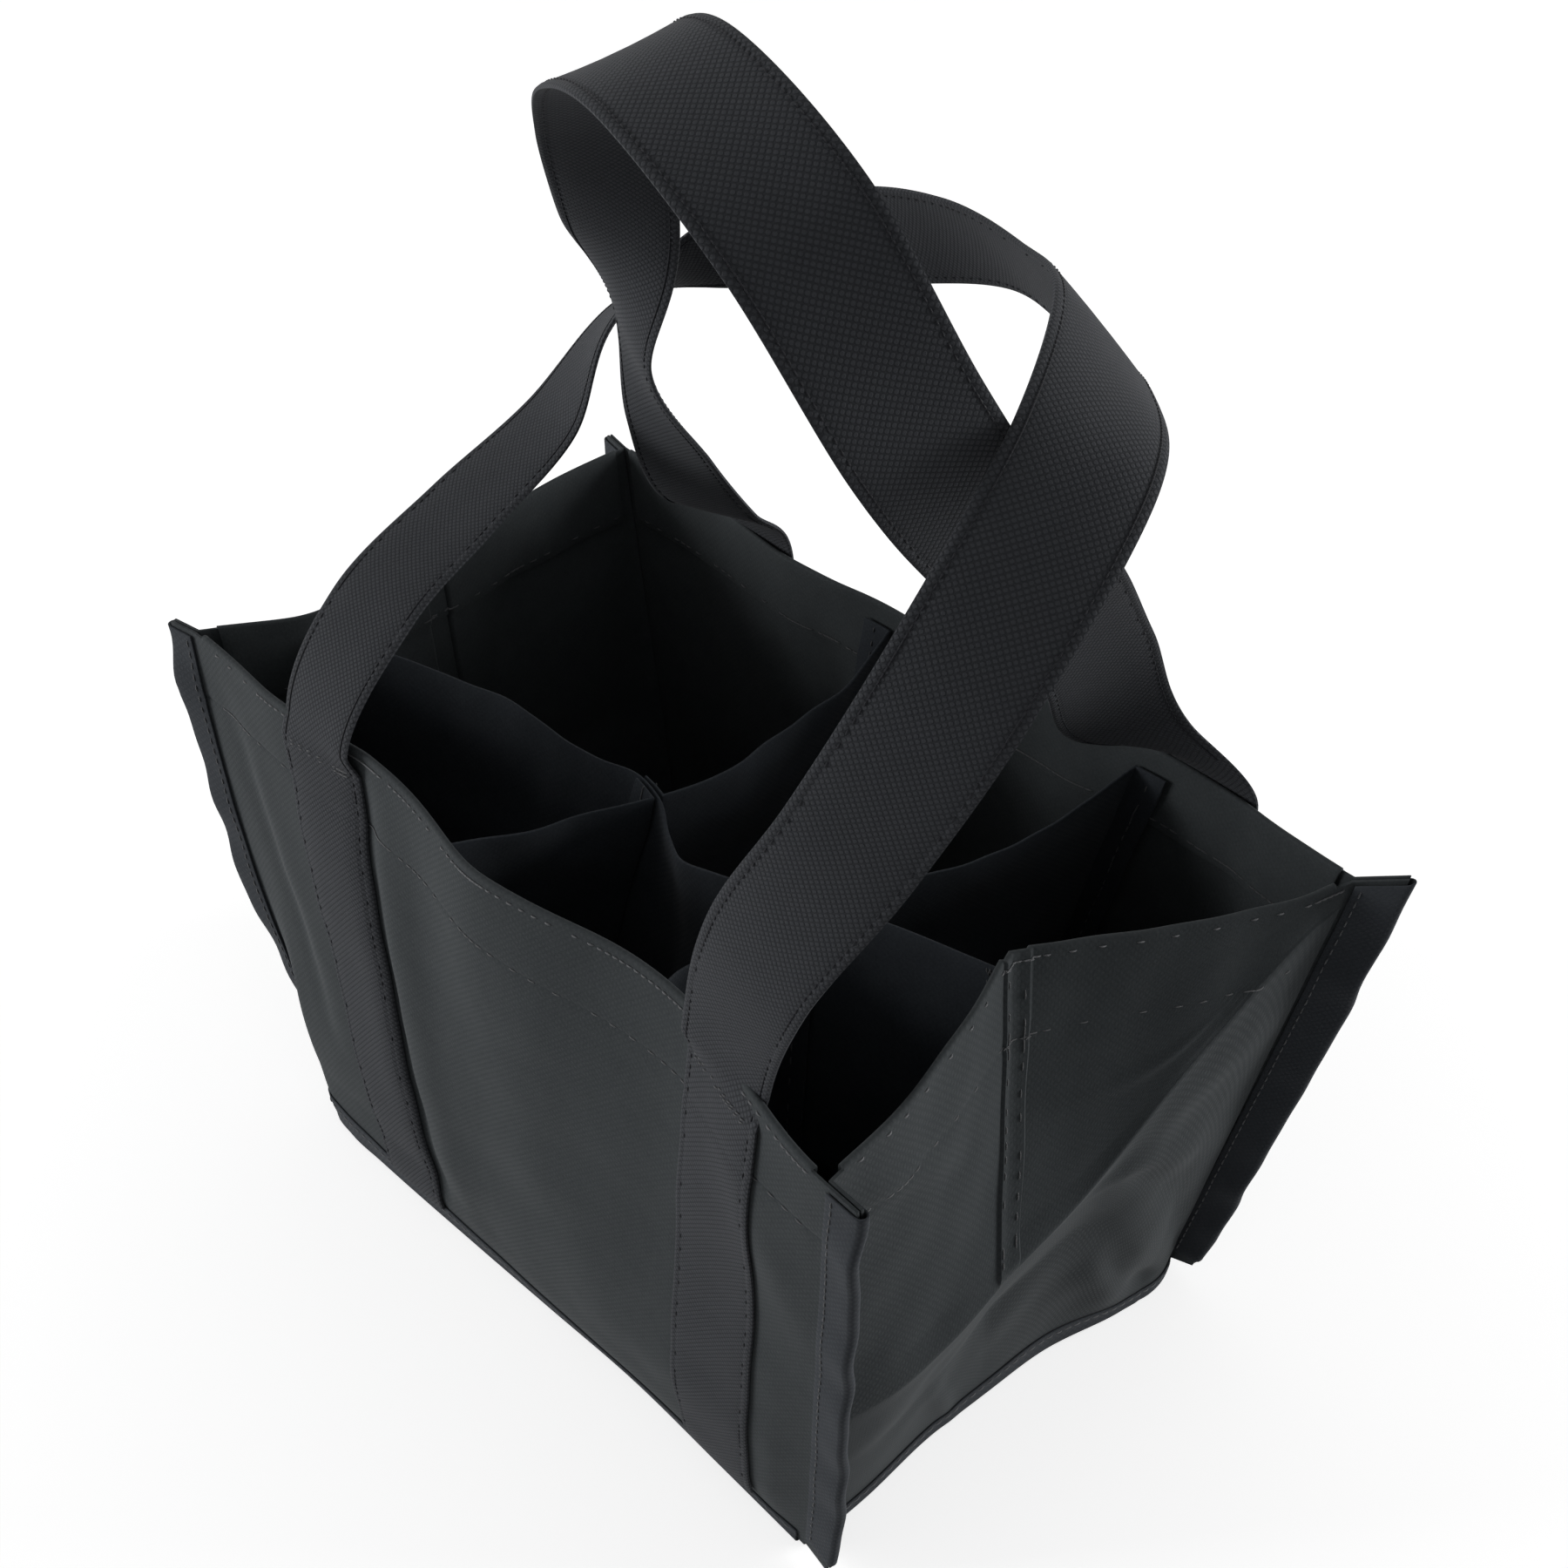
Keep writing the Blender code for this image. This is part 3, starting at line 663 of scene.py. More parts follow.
@dataclass
class Patch:
    """A grid of points on a cut piece of cloth; the mask leaves cells out."""

    points: Array
    mask: Array

    @classmethod
    def whole(cls, points: Array) -> "Patch":
        """Make a patch with nothing left out."""
        return cls(points, np.ones(points.shape[:2], bool))

    def flat(self) -> Array:
        """Lay the cloth flat.

        Returns:
            The distance across and along the cloth of each grid point, in metres.
        """
        reaches = []
        for points, mask in ((self.points.swapaxes(0, 1), self.mask.T), (self.points, self.mask)):
            steps = np.linalg.norm(np.diff(points, axis=0), axis=2)
            good = mask[1:] & mask[:-1]
            mean = (steps * good).sum(1) / np.maximum(good.sum(1), 1)
            reaches.append(np.concatenate([[0], np.cumsum(mean)]))
        return np.stack(np.meshgrid(*reaches), -1)

    def mesh(self, name: str) -> Mesh:
        """Build the open mesh with its cloth UV map.

        Args:
            name: The mesh's name.

        Returns:
            The new mesh.
        """
        index = np.full(self.mask.shape, -1)
        index[self.mask] = np.arange(self.mask.sum())
        corner = corners(index)
        whole = np.all([part >= 0 for part in corner], axis=0)
        faces = np.stack([part[whole] for part in corner], -1)
        flat = self.flat()[self.mask]
        return make_mesh(name, self.points[self.mask], faces.tolist(), flat[faces.ravel()])


def add_object(name: str, mesh: Mesh, material: Material) -> Piece:
    """Put a mesh into the scene with smooth faces and its material.

    Args:
        name: The object's name.
        mesh: Its mesh.
        material: Its material.

    Returns:
        The new object.
    """
    mesh.materials.append(material)
    mesh.polygons.foreach_set("use_smooth", np.ones(len(mesh.polygons), dtype=bool))
    piece = bpy.data.objects.new(name, mesh)
    bpy.context.scene.collection.objects.link(piece)
    return piece


def choose(piece: Piece) -> None:
    """Select one object alone and make it active.

    Args:
        piece: The object.
    """
    bpy.ops.object.select_all(action="DESELECT")
    piece.select_set(True)
    bpy.context.view_layer.objects.active = piece


def thicken(piece: Piece, thickness: float) -> None:
    """Give an open sheet its thickness and soften its cut edges.

    Args:
        piece: The open sheet.
        thickness: The cloth's thickness.
    """
    rounding_share, sharp = 0.3, math.radians(60)
    choose(piece)
    solid = piece.modifiers.new("thickness", "SOLIDIFY")
    solid.thickness = thickness
    solid.offset = 0.0
    solid.use_even_offset = True
    bpy.ops.object.modifier_apply(modifier=solid.name)
    edge = piece.modifiers.new("edge", "BEVEL")
    edge.width = thickness * rounding_share
    edge.segments = 2
    edge.limit_method = "ANGLE"
    edge.angle_limit = sharp
    bpy.ops.object.modifier_apply(modifier=edge.name)


def smooth_sides(piece: Piece) -> None:
    """Shade a piece smooth, with sharp edges kept.

    Args:
        piece: The object.
    """
    sharp = math.radians(50)
    choose(piece)
    bpy.ops.object.shade_smooth_by_angle(angle=sharp)


@dataclass
class Seam:
    """A row of stitches along a line on a surface.

    Attributes:
        line: The row's points.
        normals: The surface's directions there.
        pitch: From one stitch to the next.
        share: How much of the pitch a stitch takes.
        radius: The thread's radius.
        sunk: How deep a stitch's ends sink in.
        slant: How far a stitch leans across the row.
    """

    line: Array
    normals: Array
    pitch: float = 3.0 * MM
    share: float = 0.78
    radius: float = 0.2 * MM
    sunk: float = 0.06 * MM
    slant: float = 0.0

    def build(self) -> tuple[Array, Array]:
        """Build the stitches.

        Returns:
            The points, and the four-sided faces that join them.
        """
        count = max(1, int(run_length(self.line)[-1] / self.pitch))
        both = even(np.concatenate([self.line, self.normals], 1), 2 * count + 1)
        middle, out = both[1::2, :3], unit(both[1::2, 3:])
        along = unit(both[2::2, :3] - both[:-1:2, :3])
        along = unit(along + unit(np.cross(out, along)) * self.slant)
        side = unit(np.cross(out, along))
        rings = np.array([-1.0, -0.86, -0.45, 0.0, 0.45, 0.86, 1.0])
        girth = np.array([0.12, 0.55, 0.9, 1.0, 0.9, 0.55, 0.12])[:, None] * self.radius
        arch = (1 - np.abs(rings) ** 3) * self.radius - self.sunk
        reach = rings * (self.pitch * self.share / 2)
        sides = 6
        turns = np.arange(sides) * 2 * math.pi / sides
        spots = (middle[:, None, None] + along[:, None, None] * reach[:, None, None]
                 + side[:, None, None] * (np.cos(turns) * girth)[..., None]
                 + out[:, None, None] * (np.sin(turns) * girth + arch[:, None])[..., None])
        index, faces = ring_faces(len(rings), sides)
        caps = [ring[list(part)] for ring in (index[0, ::-1], index[-1])
                for part in ((0, 1, 2, 3), (0, 3, 4, 5))]
        template = np.concatenate([faces, caps])
        shifts = np.arange(len(middle)) * index.size
        return spots.reshape(-1, 3), (template + shifts[:, None, None]).reshape(-1, 4)


@dataclass
class Workshop:
    """Makes pieces, hides what they replace and lists them."""

    finishes: Finishes
    made: list[Piece] = field(default_factory=list)

    def fit(self, piece: Piece, body: Body, slot: Slot, nodes: tuple[str, ...] = (),
            bend: Body | None = None) -> None:
        """Make a piece ride on its body, or bake it in place where it spans a handle's joint, and stand
        for CAD nodes.

        Args:
            piece: The finished piece.
            body: The body that it rides on.
            slot: The record's material slot; not used.
            nodes: CAD nodes that it replaces.
            bend: The handle whose joint the piece spans, if it does; the piece is then baked in place
                and rides on no body.
        """
        if bend:
            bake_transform(piece)
        else:
            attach(piece, body.value)
        if nodes:
            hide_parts(*nodes)
        self.made.append(piece)
        LOG.info("%s: %d faces", piece.name, len(piece.data.polygons))

    def cloth(self, name: str, patch: Patch, slot: Slot, hold: Hold, node: str,
              thickness: float = SHEET, material: Material | None = None) -> None:
        """Args:
            name: The piece's name.
            patch: Its grid of points.
            slot: The record's material slot.
            hold: How the sheet is held; not used.
            node: The CAD node that it replaces.
            thickness: The cloth's thickness.
            material: The finish, or the panels' fabric where it is none.
        """
        mesh = patch.mesh(name)
        flat = patch.flat()[patch.mask]
        piece = add_object(name, mesh, material or self.finishes.fabric)
        thicken(piece, thickness)
        smooth_sides(piece)
        self.fit(piece, Body.BAG, slot, (node,))

    def stitches(self, name: str, runs: list[Seam], nodes: tuple[str, ...] = (),
                 bend: Body | None = None, material: Material | None = None) -> None:
        """Sew rows of stitches as one piece.

        Args:
            name: The piece's name.
            runs: The seams that it holds.
            nodes: CAD nodes that it replaces.
            bend: The handle whose joint the stitches span, if they do; they are then baked in place.
            material: The thread's finish, or the dark thread where it is none.
        """
        points, faces, count = [], [], 0
        for seam in runs:
            part, rings = seam.build()
            points.append(part)
            faces.append(rings + count)
            count += len(part)
        mesh = make_mesh(name, np.concatenate(points), np.concatenate(faces).tolist())
        piece = add_object(name, mesh, material or self.finishes.thread)
        self.fit(piece, Body.BAG, Slot.THREAD, nodes, bend)


# ---- The walls


class Surface:
    """A piece of cloth as a surface over a share across it and a share up it."""

    def point(self, across: Array, up: Array) -> Array:
        """Return the points at the shares."""
        raise NotImplementedError

    def normal(self, across: Array, up: Array) -> Array:
        """Measure the outward directions of the surface.

        Args:
            across: Shares across the surface.
            up: Shares up the surface.

        Returns:
            Unit vectors square to the surface.
        """
        step = 0.004
        side = self.point(clamp(across + step), up) - self.point(clamp(across - step), up)
        rise = self.point(across, clamp(up + step)) - self.point(across, clamp(up - step))
        return unit(np.cross(side, rise))

    def below_rim(self, across: Array, depth: float) -> Array:
        """Find the shares up the cloth that lie a distance below its rim.

        Args:
            across: Shares across the surface.
            depth: The distance from the rim, measured on the cloth.

        Returns:
            The share up for each share across.
        """
        lowest, steps = 0.4, 60
        ups = np.linspace(1, lowest, steps + 1)
        lines = self.point(across[:, None], ups + 0 * across[:, None])
        return np.array([np.interp(depth, run_length(line), ups) for line in lines])

    def off(self, across: Array, up: Array, distance: float) -> Array:
        """Return points at a distance outside the surface."""
        return self.point(across, up) + self.normal(across, up) * distance

    def line(self, across: Array | float, up: Array, lift: float) -> tuple[Array, Array]:
        """Lay a line on the surface.

        Args:
            across: Shares across, one for each point or one for all.
            up: Shares up, one for each point.
            lift: How far the line stands off the surface.

        Returns:
            The line's points and the surface's directions there.
        """
        across, up = spread(across, up)
        normals = self.normal(across, up)
        return self.point(across, up) + normals * lift, normals


@dataclass(frozen=True)
class Fold:
    """A soft fold in a wall.

    Attributes:
        start: Where it begins, as shares across and up the wall.
        end: Where it runs out.
        height: How far it stands out, in millimetres; a groove is below zero.
        width: Its width in millimetres.
    """

    start: Pair
    end: Pair
    height: float
    width: float

    def rise(self, across: Array, up: Array, wall_width: float) -> Array:
        """Measure how far the fold lifts places on the wall.

        Args:
            across: Shares across the wall.
            up: Shares up the wall.
            wall_width: The wall's width in metres.

        Returns:
            The fold's height in metres at those places.
        """
        run_in, sharpness = 0.05, 0.6
        size = np.array([wall_width, HEIGHT])
        first = np.array(self.start) * size
        way = np.array(self.end) * size - first
        spot = np.stack([across, up], -1) * size - first
        along = clamp((spot @ way) / (way @ way))
        away = np.linalg.norm(spot - along[..., None] * way, axis=-1)
        fade = np.sin(math.pi * (along * (1 - 2 * run_in) + run_in)) ** sharpness
        return self.height * MM * np.exp(-((away / (self.width * MM)) ** 2)) * fade


@dataclass
class Wall(Surface):
    """One wall of the bag, between two upright seams.

    Attributes:
        feet: The left and right corners at the foot, as seen from outside.
        rims: The same corners at the rim.
        seed: Picks the unevenness of the cloth.
        belly: How far the middle swells out.
        draws: Places that are drawn in at the rim: share across, depth and width as a share.
        heel: How far the cloth stands out over the board, at its left and right end.
        heel_share: How far up that stretch reaches.
        folds: The wall's soft folds.
        foot_bow: How far the foot stands out of its straight line, by share across.
        crest: How far the rim rises near its left end.
        inset: How far the wall stops short of its corners.
        bows: How far each corner seam bows, along and across the bag.
    """

    feet: tuple[Pair, Pair]
    rims: tuple[Pair, Pair]
    seed: int = 1
    belly: float = 4.0 * MM
    draws: tuple[Triple, ...] = ()
    heel: Pair = (4.0 * MM, 2.0 * MM)
    heel_share: float = 0.12
    folds: tuple[Fold, ...] = ()
    foot_bow: tuple[Pair, ...] = ((0.0, 0.0), (1.0, 0.0))
    crest: float = 0.0
    inset: float = 0.0
    bows: tuple[Pair, Pair] = ((0.0, 0.0), (0.0, 0.0))

    def ends(self, up: Array | float) -> tuple[Array, Array]:
        """Find the wall's two corners at a height.

        Args:
            up: Shares up the wall.

        Returns:
            The left and right corners, as seen from outside.
        """
        up = np.asarray(up, float)[..., None]
        left, right = (between(np.array([*foot, FOOT_Z]), np.array([*rim, HEIGHT]), up)
                       + np.array([*bow, 0.0]) * np.sin(math.pi * clamp(up))
                       for foot, rim, bow in zip(self.feet, self.rims, self.bows))
        shift = unit(right - left) * self.inset
        return left + shift, right - shift

    def run(self, up: Array | float) -> Array:
        """Return the level direction from the left corner to the right one."""
        left, right = self.ends(up)
        return unit(right - left)

    def outward(self, up: Array | float) -> Array:
        """Return the level direction out of the bag."""
        return np.cross(self.run(up), UP)

    def width(self, up: float = 1.0) -> float:
        """Return the wall's length between its corners."""
        left, right = self.ends(up)
        return float(np.linalg.norm(right - left))

    def bulge(self, across: Array, up: Array) -> Array:
        """Measure how far the wall stands out of the plane between its corners.

        Args:
            across: Shares across the wall.
            up: Shares up the wall.

        Returns:
            The distance out at each place.
        """
        belly_power, heel_run_in, heel_fade, bow_power = 0.8, 0.16, 0.45, 1.5
        out = self.belly * np.sin(math.pi * across) * np.sin(math.pi * up) ** belly_power
        for place, depth, width in self.draws:
            out = out - depth * bump(across - place, width) * up**2
        heel = between(*self.heel, across) * clamp(np.sin(math.pi * clamp(across)) / heel_run_in)
        low = clamp(up / self.heel_share)
        above = bump(np.maximum(up - self.heel_share, 0), heel_fade)
        places, bows = np.array(self.foot_bow).T
        return (out + heel * (1 - (1 - low) ** 2) * above
                + through(across, places, bows) * (1 - low) ** bow_power)

    def soft(self, across: Array, up: Array, spot: Array, run_in: float) -> Array:
        """Measure the cloth's slow unevenness, which ends at the seams and is weak at the hem.

        Args:
            across: Shares across the wall.
            up: Shares up the wall.
            spot: The points at those shares.
            run_in: The share above the foot over which the cloth comes free.

        Returns:
            The unevenness at each place.
        """
        hem_start, hem_blend, hem_calm = 0.84, 0.05, 0.35
        free = np.sqrt(np.sin(math.pi * clamp(across))) * clamp(up / run_in)
        calm = 1 - hem_calm * clamp((up - hem_start) / hem_blend)
        return free * calm * slack(spot, (0.9 * MM, 0.075, self.seed),
                                   (0.32 * MM, 0.026, self.seed + 40))

    @staticmethod
    def hem_groove(depth: Array, width: float) -> Array:
        """Return how far the hem's seam pulls the cloth in, by the distance below the rim."""
        return -HEM_GROOVE * crease(depth - HEM_SEAM, width)

    def point(self, across: Array, up: Array) -> Array:
        """Return the points of the wall's middle layer.

        Args:
            across: Shares across the wall.
            up: Shares up the wall.

        Returns:
            A point for each place.
        """
        across, up = spread(across, up)
        spot = between(*self.ends(up), across[..., None])
        out = self.bulge(across, up) + self.soft(across, up, spot, run_in=1 / 8)
        out = out + sum(fold.rise(across, up, self.width(0.5)) for fold in self.folds)
        out = out + self.hem_groove((1 - up) * HEIGHT, 0.8 * MM)
        crest_start, crest_width = 0.15, 0.35
        spot[..., 2] += self.crest * up**3 * bump(np.maximum(across - crest_start, 0), crest_width)
        return spot + self.outward(up) * out[..., None]


@dataclass
class EndWall(Wall):
    """An end wall, folded inwards at its middle, whose fold runs out on a slanting ridge.

    Attributes:
        stations: Shares across at which the four lines below are given.
        rim_line: Points along the rim.
        ridge_line: Points along the slanting ridge.
        shelf_line: Points halfway between ridge and foot, tucked in.
        foot_line: Points along the foot.
        split: The share up the wall at which the ridge lies.
        band: Half the width of the doubled cloth along the middle seam.
    """

    inset: float = LAYER
    stations: Array = field(kw_only=True)
    rim_line: Array = field(kw_only=True)
    ridge_line: Array = field(kw_only=True)
    shelf_line: Array = field(kw_only=True)
    foot_line: Array = field(kw_only=True)
    split: float = 0.44
    band: float = 3.4 * MM

    def point(self, across: Array, up: Array) -> Array:
        """Return the points of the end wall's middle layer.

        Args:
            across: Shares across the wall.
            up: Shares up the wall.

        Returns:
            A point for each place.
        """
        across, up = spread(across, up)
        rim, ridge, shelf, foot = (self.row(across, line) for line in (
            self.rim_line, self.ridge_line, self.shelf_line, self.foot_line))
        low = clamp(up / self.split)[..., None]
        high = clamp((up - self.split) / (1 - self.split))[..., None]
        tucked = foot + (shelf - foot) * np.minimum(low * 2, 1)
        below = np.where(low < 0.5, tucked, shelf + (ridge - shelf) * (low * 2 - 1))
        spot = np.where(up[..., None] < self.split, below, ridge + (rim - ridge) * high)
        way = self.outward(np.full(up.shape, 0.5))
        ridge_blend, ridge_calm, seam_share, seam_power = 0.06, 0.15, 0.045, 1.5
        near_ridge = np.clip(np.abs(up - self.split) / ridge_blend, ridge_calm, 1)
        depth = np.linalg.norm(rim - ridge, axis=-1) * (1 - high[..., 0])
        out = (self.soft(across, up, spot, run_in=1 / 6) * near_ridge
               + self.hem_groove(depth, 1.0 * MM))
        out = out + sum(fold.rise(across, up, self.width(0.5)) for fold in self.folds)
        spot = spot + way * (out + self.middle_band(across, up))[..., None]
        left, right = self.ends(share_up(spot[..., 2]))
        for corner, away in ((left, across), (right, 1 - across)):
            hold = clamp(1 - away / seam_share)[..., None] ** seam_power
            spot = between(spot, corner, hold)
        return spot

    def middle_band(self, across: Array, up: Array) -> Array:
        """Measure the step of the doubled cloth along the middle seam, above the ridge.

        Args:
            across: Shares across the wall.
            up: Shares up the wall.

        Returns:
            How far each place stands out.
        """
        height, blend_end, blend, run_in = 0.9 * MM, 1.1, 0.2, 0.02
        reach = np.abs(across - 0.5) * self.width() / self.band
        return height * clamp((blend_end - reach) / blend) * clamp((up - self.split) / run_in)

    def row(self, across: Array, line: Array) -> Array:
        """Read one of the key lines, with a crisp fold at its middle station.

        Args:
            across: Shares across the wall.
            line: The line's points at the stations.

        Returns:
            The points on the line.
        """
        middle = int(np.argmin(np.abs(self.stations - 0.5)))
        first = through(np.minimum(across, 0.5), self.stations[:middle + 1], line[:middle + 1])
        last = through(np.maximum(across, 0.5), self.stations[middle:], line[middle:])
        return np.where(across[..., None] <= 0.5, first, last)


@dataclass(frozen=True)
class Edge:
    """A seam edge that stands out at an upright.

    Attributes:
        guide: The wall whose end it is.
        sign: The way it stands out, -1 at the wall's left and 1 at its right.
        reach: How far it stands out.
        splay: How far it turns outwards, at the foot and at the rim.
        lift: How far its outer line rises at the rim.
        taper: Its width at the foot as a share, and the share up at which it is whole.
        foot_lift: How far its outer line rises at the foot.
    """

    guide: Wall
    sign: int
    reach: float = FLANGE
    splay: Pair = (0.0, 0.0)
    lift: float = 0.0
    taper: Pair = (1.0, 1.0)
    foot_lift: float = 0.0

    def seam(self, rows: Array) -> Array:
        """Return the points of the seam line."""
        return self.guide.point(np.full(len(rows), (1 + self.sign) / 2), rows)

    def axes(self, rows: Array) -> tuple[Array, Array, Array]:
        """Find the edge's directions.

        Args:
            rows: Shares up the wall.

        Returns:
            The way out along the edge, the way out of its front face and the wall's own
            outward direction, for each row.
        """
        turn = between(*self.splay, rows)[:, None]
        run, outward = self.guide.run(rows) * self.sign, self.guide.outward(rows)
        return (run * np.cos(turn) + outward * np.sin(turn),
                outward * np.cos(turn) - run * np.sin(turn), outward)

    def out(self, rows: Array, distance: float) -> Array:
        """Measure the edge's offset from the seam line.

        Args:
            rows: Shares up the wall.
            distance: How far out from the seam line.

        Returns:
            One offset for each row.
        """
        rim_start, foot_end = 0.8, 0.12
        wave_run, wave_length, wave_height = 0.15, 0.04, 0.7 * MM
        way, _, outward = self.axes(rows)
        run = np.repeat(rows[:, None] * wave_run, 3, axis=1)
        wave = ripple(run, wave_length, self.guide.seed + 5) * wave_height
        share = distance / self.reach
        rise = (self.lift * clamp((rows - rim_start) / (1 - rim_start))
                + self.foot_lift * clamp(1 - rows / foot_end))
        narrow = between(self.taper[0], 1, clamp(rows / self.taper[1]))
        return (way * (distance * narrow)[:, None]
                + (outward * wave[:, None] + UP * rise[:, None]) * share)

    def face(self, rows: Array) -> Array:
        """Return the direction out of the edge's front face."""
        return unit(self.axes(rows)[1])


def wall_patch(wall: Wall, edges: tuple[Edge, Edge], columns: Array, rows: Array) -> Patch:
    """Lay out one wall with its foot, upright seam edges, folded rim and hem.

    Args:
        wall: The wall's surface.
        edges: The seam edges at its left and right.
        columns: Shares across the wall.
        rows: Shares up the wall.

    Returns:
        The grid of the cut piece.
    """
    foot_flare, foot_drop, near_rim = 0.2 * MM, 1.0 * MM, 0.995
    fold_steps, hem_steps, hem_stop = 5, 7, 3.0 * MM
    reaches = (1.0, 0.66, 0.33)
    foot = [wall.point(columns, 0) + wall.outward(0) * foot_flare - UP * foot_drop]
    body = [wall.point(columns, row) for row in rows]
    into = -wall.outward(near_rim)
    turns = math.pi * np.arange(1, fold_steps + 1) / fold_steps
    folds = [body[-1] + (into * (1 - math.cos(turn)) + UP * math.sin(turn)) * FOLD_RADIUS
             for turn in turns]
    inner = [wall.point(columns, wall.below_rim(columns, HEM_DEPTH * step / hem_steps))
             + into * 2 * FOLD_RADIUS for step in range(1, hem_steps + 1)]
    side = len(reaches)
    grid = np.pad(np.array(foot + body + folds + inner), ((0, 0), (side, side), (0, 0)))
    mask = np.zeros(grid.shape[:2], bool)
    mask[:, side:-side] = True
    hem_top = len(foot) + len(body)
    mask[hem_top:, side:-side] = np.minimum(columns, 1 - columns) * wall.width() > hem_stop
    for share, edge, places in ((0.0, edges[0], (0, 1, 2)), (1.0, edges[1], (-1, -2, -3))):
        line = wall.point(share, rows)
        level = clamp(share_up(line[:, 2]))
        for place, reach in zip(places, reaches):
            grid[len(foot):hem_top, place] = line + edge.out(level, edge.reach * reach)
            mask[len(foot):hem_top, place] = True
    return Patch(grid, mask)


FRONT_LEFT_FOOT = (-98.0 * MM, -69.0 * MM)
FRONT_RIGHT_FOOT = (104.0 * MM, -66.0 * MM)
BACK_RIGHT_FOOT = (107.0 * MM, 68.0 * MM)
BACK_LEFT_FOOT = (-104.0 * MM, 68.0 * MM)
FRONT_LEFT_RIM = (-125.0 * MM, -75.0 * MM)
FRONT_RIGHT_RIM = (115.0 * MM, -75.0 * MM)
BACK_RIGHT_RIM = (131.0 * MM, 70.0 * MM)
BACK_LEFT_RIM = (-127.0 * MM, 68.0 * MM)
LEFT_BOW = (-3.0 * MM, -3.0 * MM)
STRAIGHT = (0.0, 0.0)


def front_wall() -> Wall:
    """Set out the front wall, drawn in at both straps and bowed out at its left foot.

    Returns:
        The wall's surface.
    """
    return Wall(
        (FRONT_LEFT_FOOT, FRONT_RIGHT_FOOT), (FRONT_LEFT_RIM, FRONT_RIGHT_RIM), seed=3,
        draws=((0.33, 5.5 * MM, 0.20), (0.745, 10.5 * MM, 0.25)),
        heel=(7.0 * MM, 2.5 * MM), heel_share=0.13,
        foot_bow=((0.0, 0.0), (0.04, 7.0 * MM), (0.09, 8.6 * MM), (0.16, 8.0 * MM),
                  (0.36, 5.4 * MM), (0.52, 3.0 * MM), (0.68, 0.6 * MM), (0.85, 0.2 * MM),
                  (1.0, 0.0)),
        bows=(LEFT_BOW, STRAIGHT),
        folds=(Fold((0.30, 0.97), (0.335, 0.10), -2.6, 3.6), Fold((0.335, 0.95), (0.40, 0.12), 1.6, 8.0),
               Fold((0.46, 0.90), (0.66, 0.20), 1.2, 16.0), Fold((0.86, 0.95), (0.97, 0.62), 1.4, 8.0),
               Fold((0.04, 0.90), (0.13, 0.30), -1.2, 5.0), Fold((0.08, 0.88), (0.17, 0.30), 1.0, 8.0)))


def back_wall() -> Wall:
    """Set out the back wall, whose rim rises towards its right corner.

    Returns:
        The wall's surface.
    """
    return Wall(
        (BACK_RIGHT_FOOT, BACK_LEFT_FOOT), (BACK_RIGHT_RIM, BACK_LEFT_RIM), seed=17,
        draws=((0.20, -3.0 * MM, 0.20), (0.71, 4.0 * MM, 0.16)),
        heel=(3.0 * MM, 4.0 * MM), crest=3.3 * MM,
        folds=(Fold((0.12, 0.97), (0.10, 0.30), 1.6, 7.0), Fold((0.30, 0.95), (0.36, 0.25), -1.4, 9.0),
               Fold((0.66, 0.96), (0.60, 0.35), 1.5, 8.0), Fold((0.90, 0.85), (0.82, 0.25), 1.2, 10.0)))


def right_wall() -> EndWall:
    """Set out the right end wall, with its deep fold and the creases below its ridge.

    Returns:
        The wall's surface.
    """
    return EndWall(
        (FRONT_RIGHT_FOOT, BACK_RIGHT_FOOT), (FRONT_RIGHT_RIM, BACK_RIGHT_RIM), seed=29,
        stations=np.array([0.0, 0.14, 0.29, 0.5, 0.64, 0.83, 0.925, 1.0]),
        rim_line=millimetres(((115, -74, 155), (112.5, -54, 155), (106, -31, 155), (95.5, -3, 155),
                              (108.5, 20, 155), (121.5, 46, 155), (127.5, 59, 155.5),
                              (131, 69, 158))),
        ridge_line=millimetres(((109.5, -68.5, 58), (115.5, -52, 64), (117.5, -37, 70),
                                (117.5, -19, 78), (119.5, 4, 91), (125, 33, 125),
                                (129.5, 54, 146), (130.5, 68.5, 150.5))),
        shelf_line=millimetres(((106.5, -67, 30), (108, -49, 33), (106.5, -31, 38), (106, -10, 46),
                                (113.5, 14, 66), (116, 40, 38), (113, 56, 22), (110, 66, 12))),
        foot_line=millimetres(((103.5, -65, 2.8), (103.5, -46, 2.8), (102, -25, 2.8),
                               (102.5, -3, 2.8), (103.5, 18, 2.8), (109, 44, 2.8),
                               (110.5, 57, 2.8), (108, 67, 2.8))),
        folds=(Fold((0.57, 0.72), (0.80, 0.60), 0.7, 3.2), Fold((0.66, 0.38), (0.97, 0.30), 1.6, 3.0),
               Fold((0.80, 0.40), (0.98, 0.38), 1.2, 2.4), Fold((0.74, 0.34), (0.97, 0.22), -1.2, 2.4),
               Fold((0.06, 0.93), (0.30, 0.80), 1.2, 4.0), Fold((0.66, 0.16), (0.80, 0.05), 1.8, 5.0),
               Fold((0.84, 0.13), (0.90, 0.05), -1.8, 5.0), Fold((0.30, 0.20), (0.38, 0.02), 1.2, 4.0)))


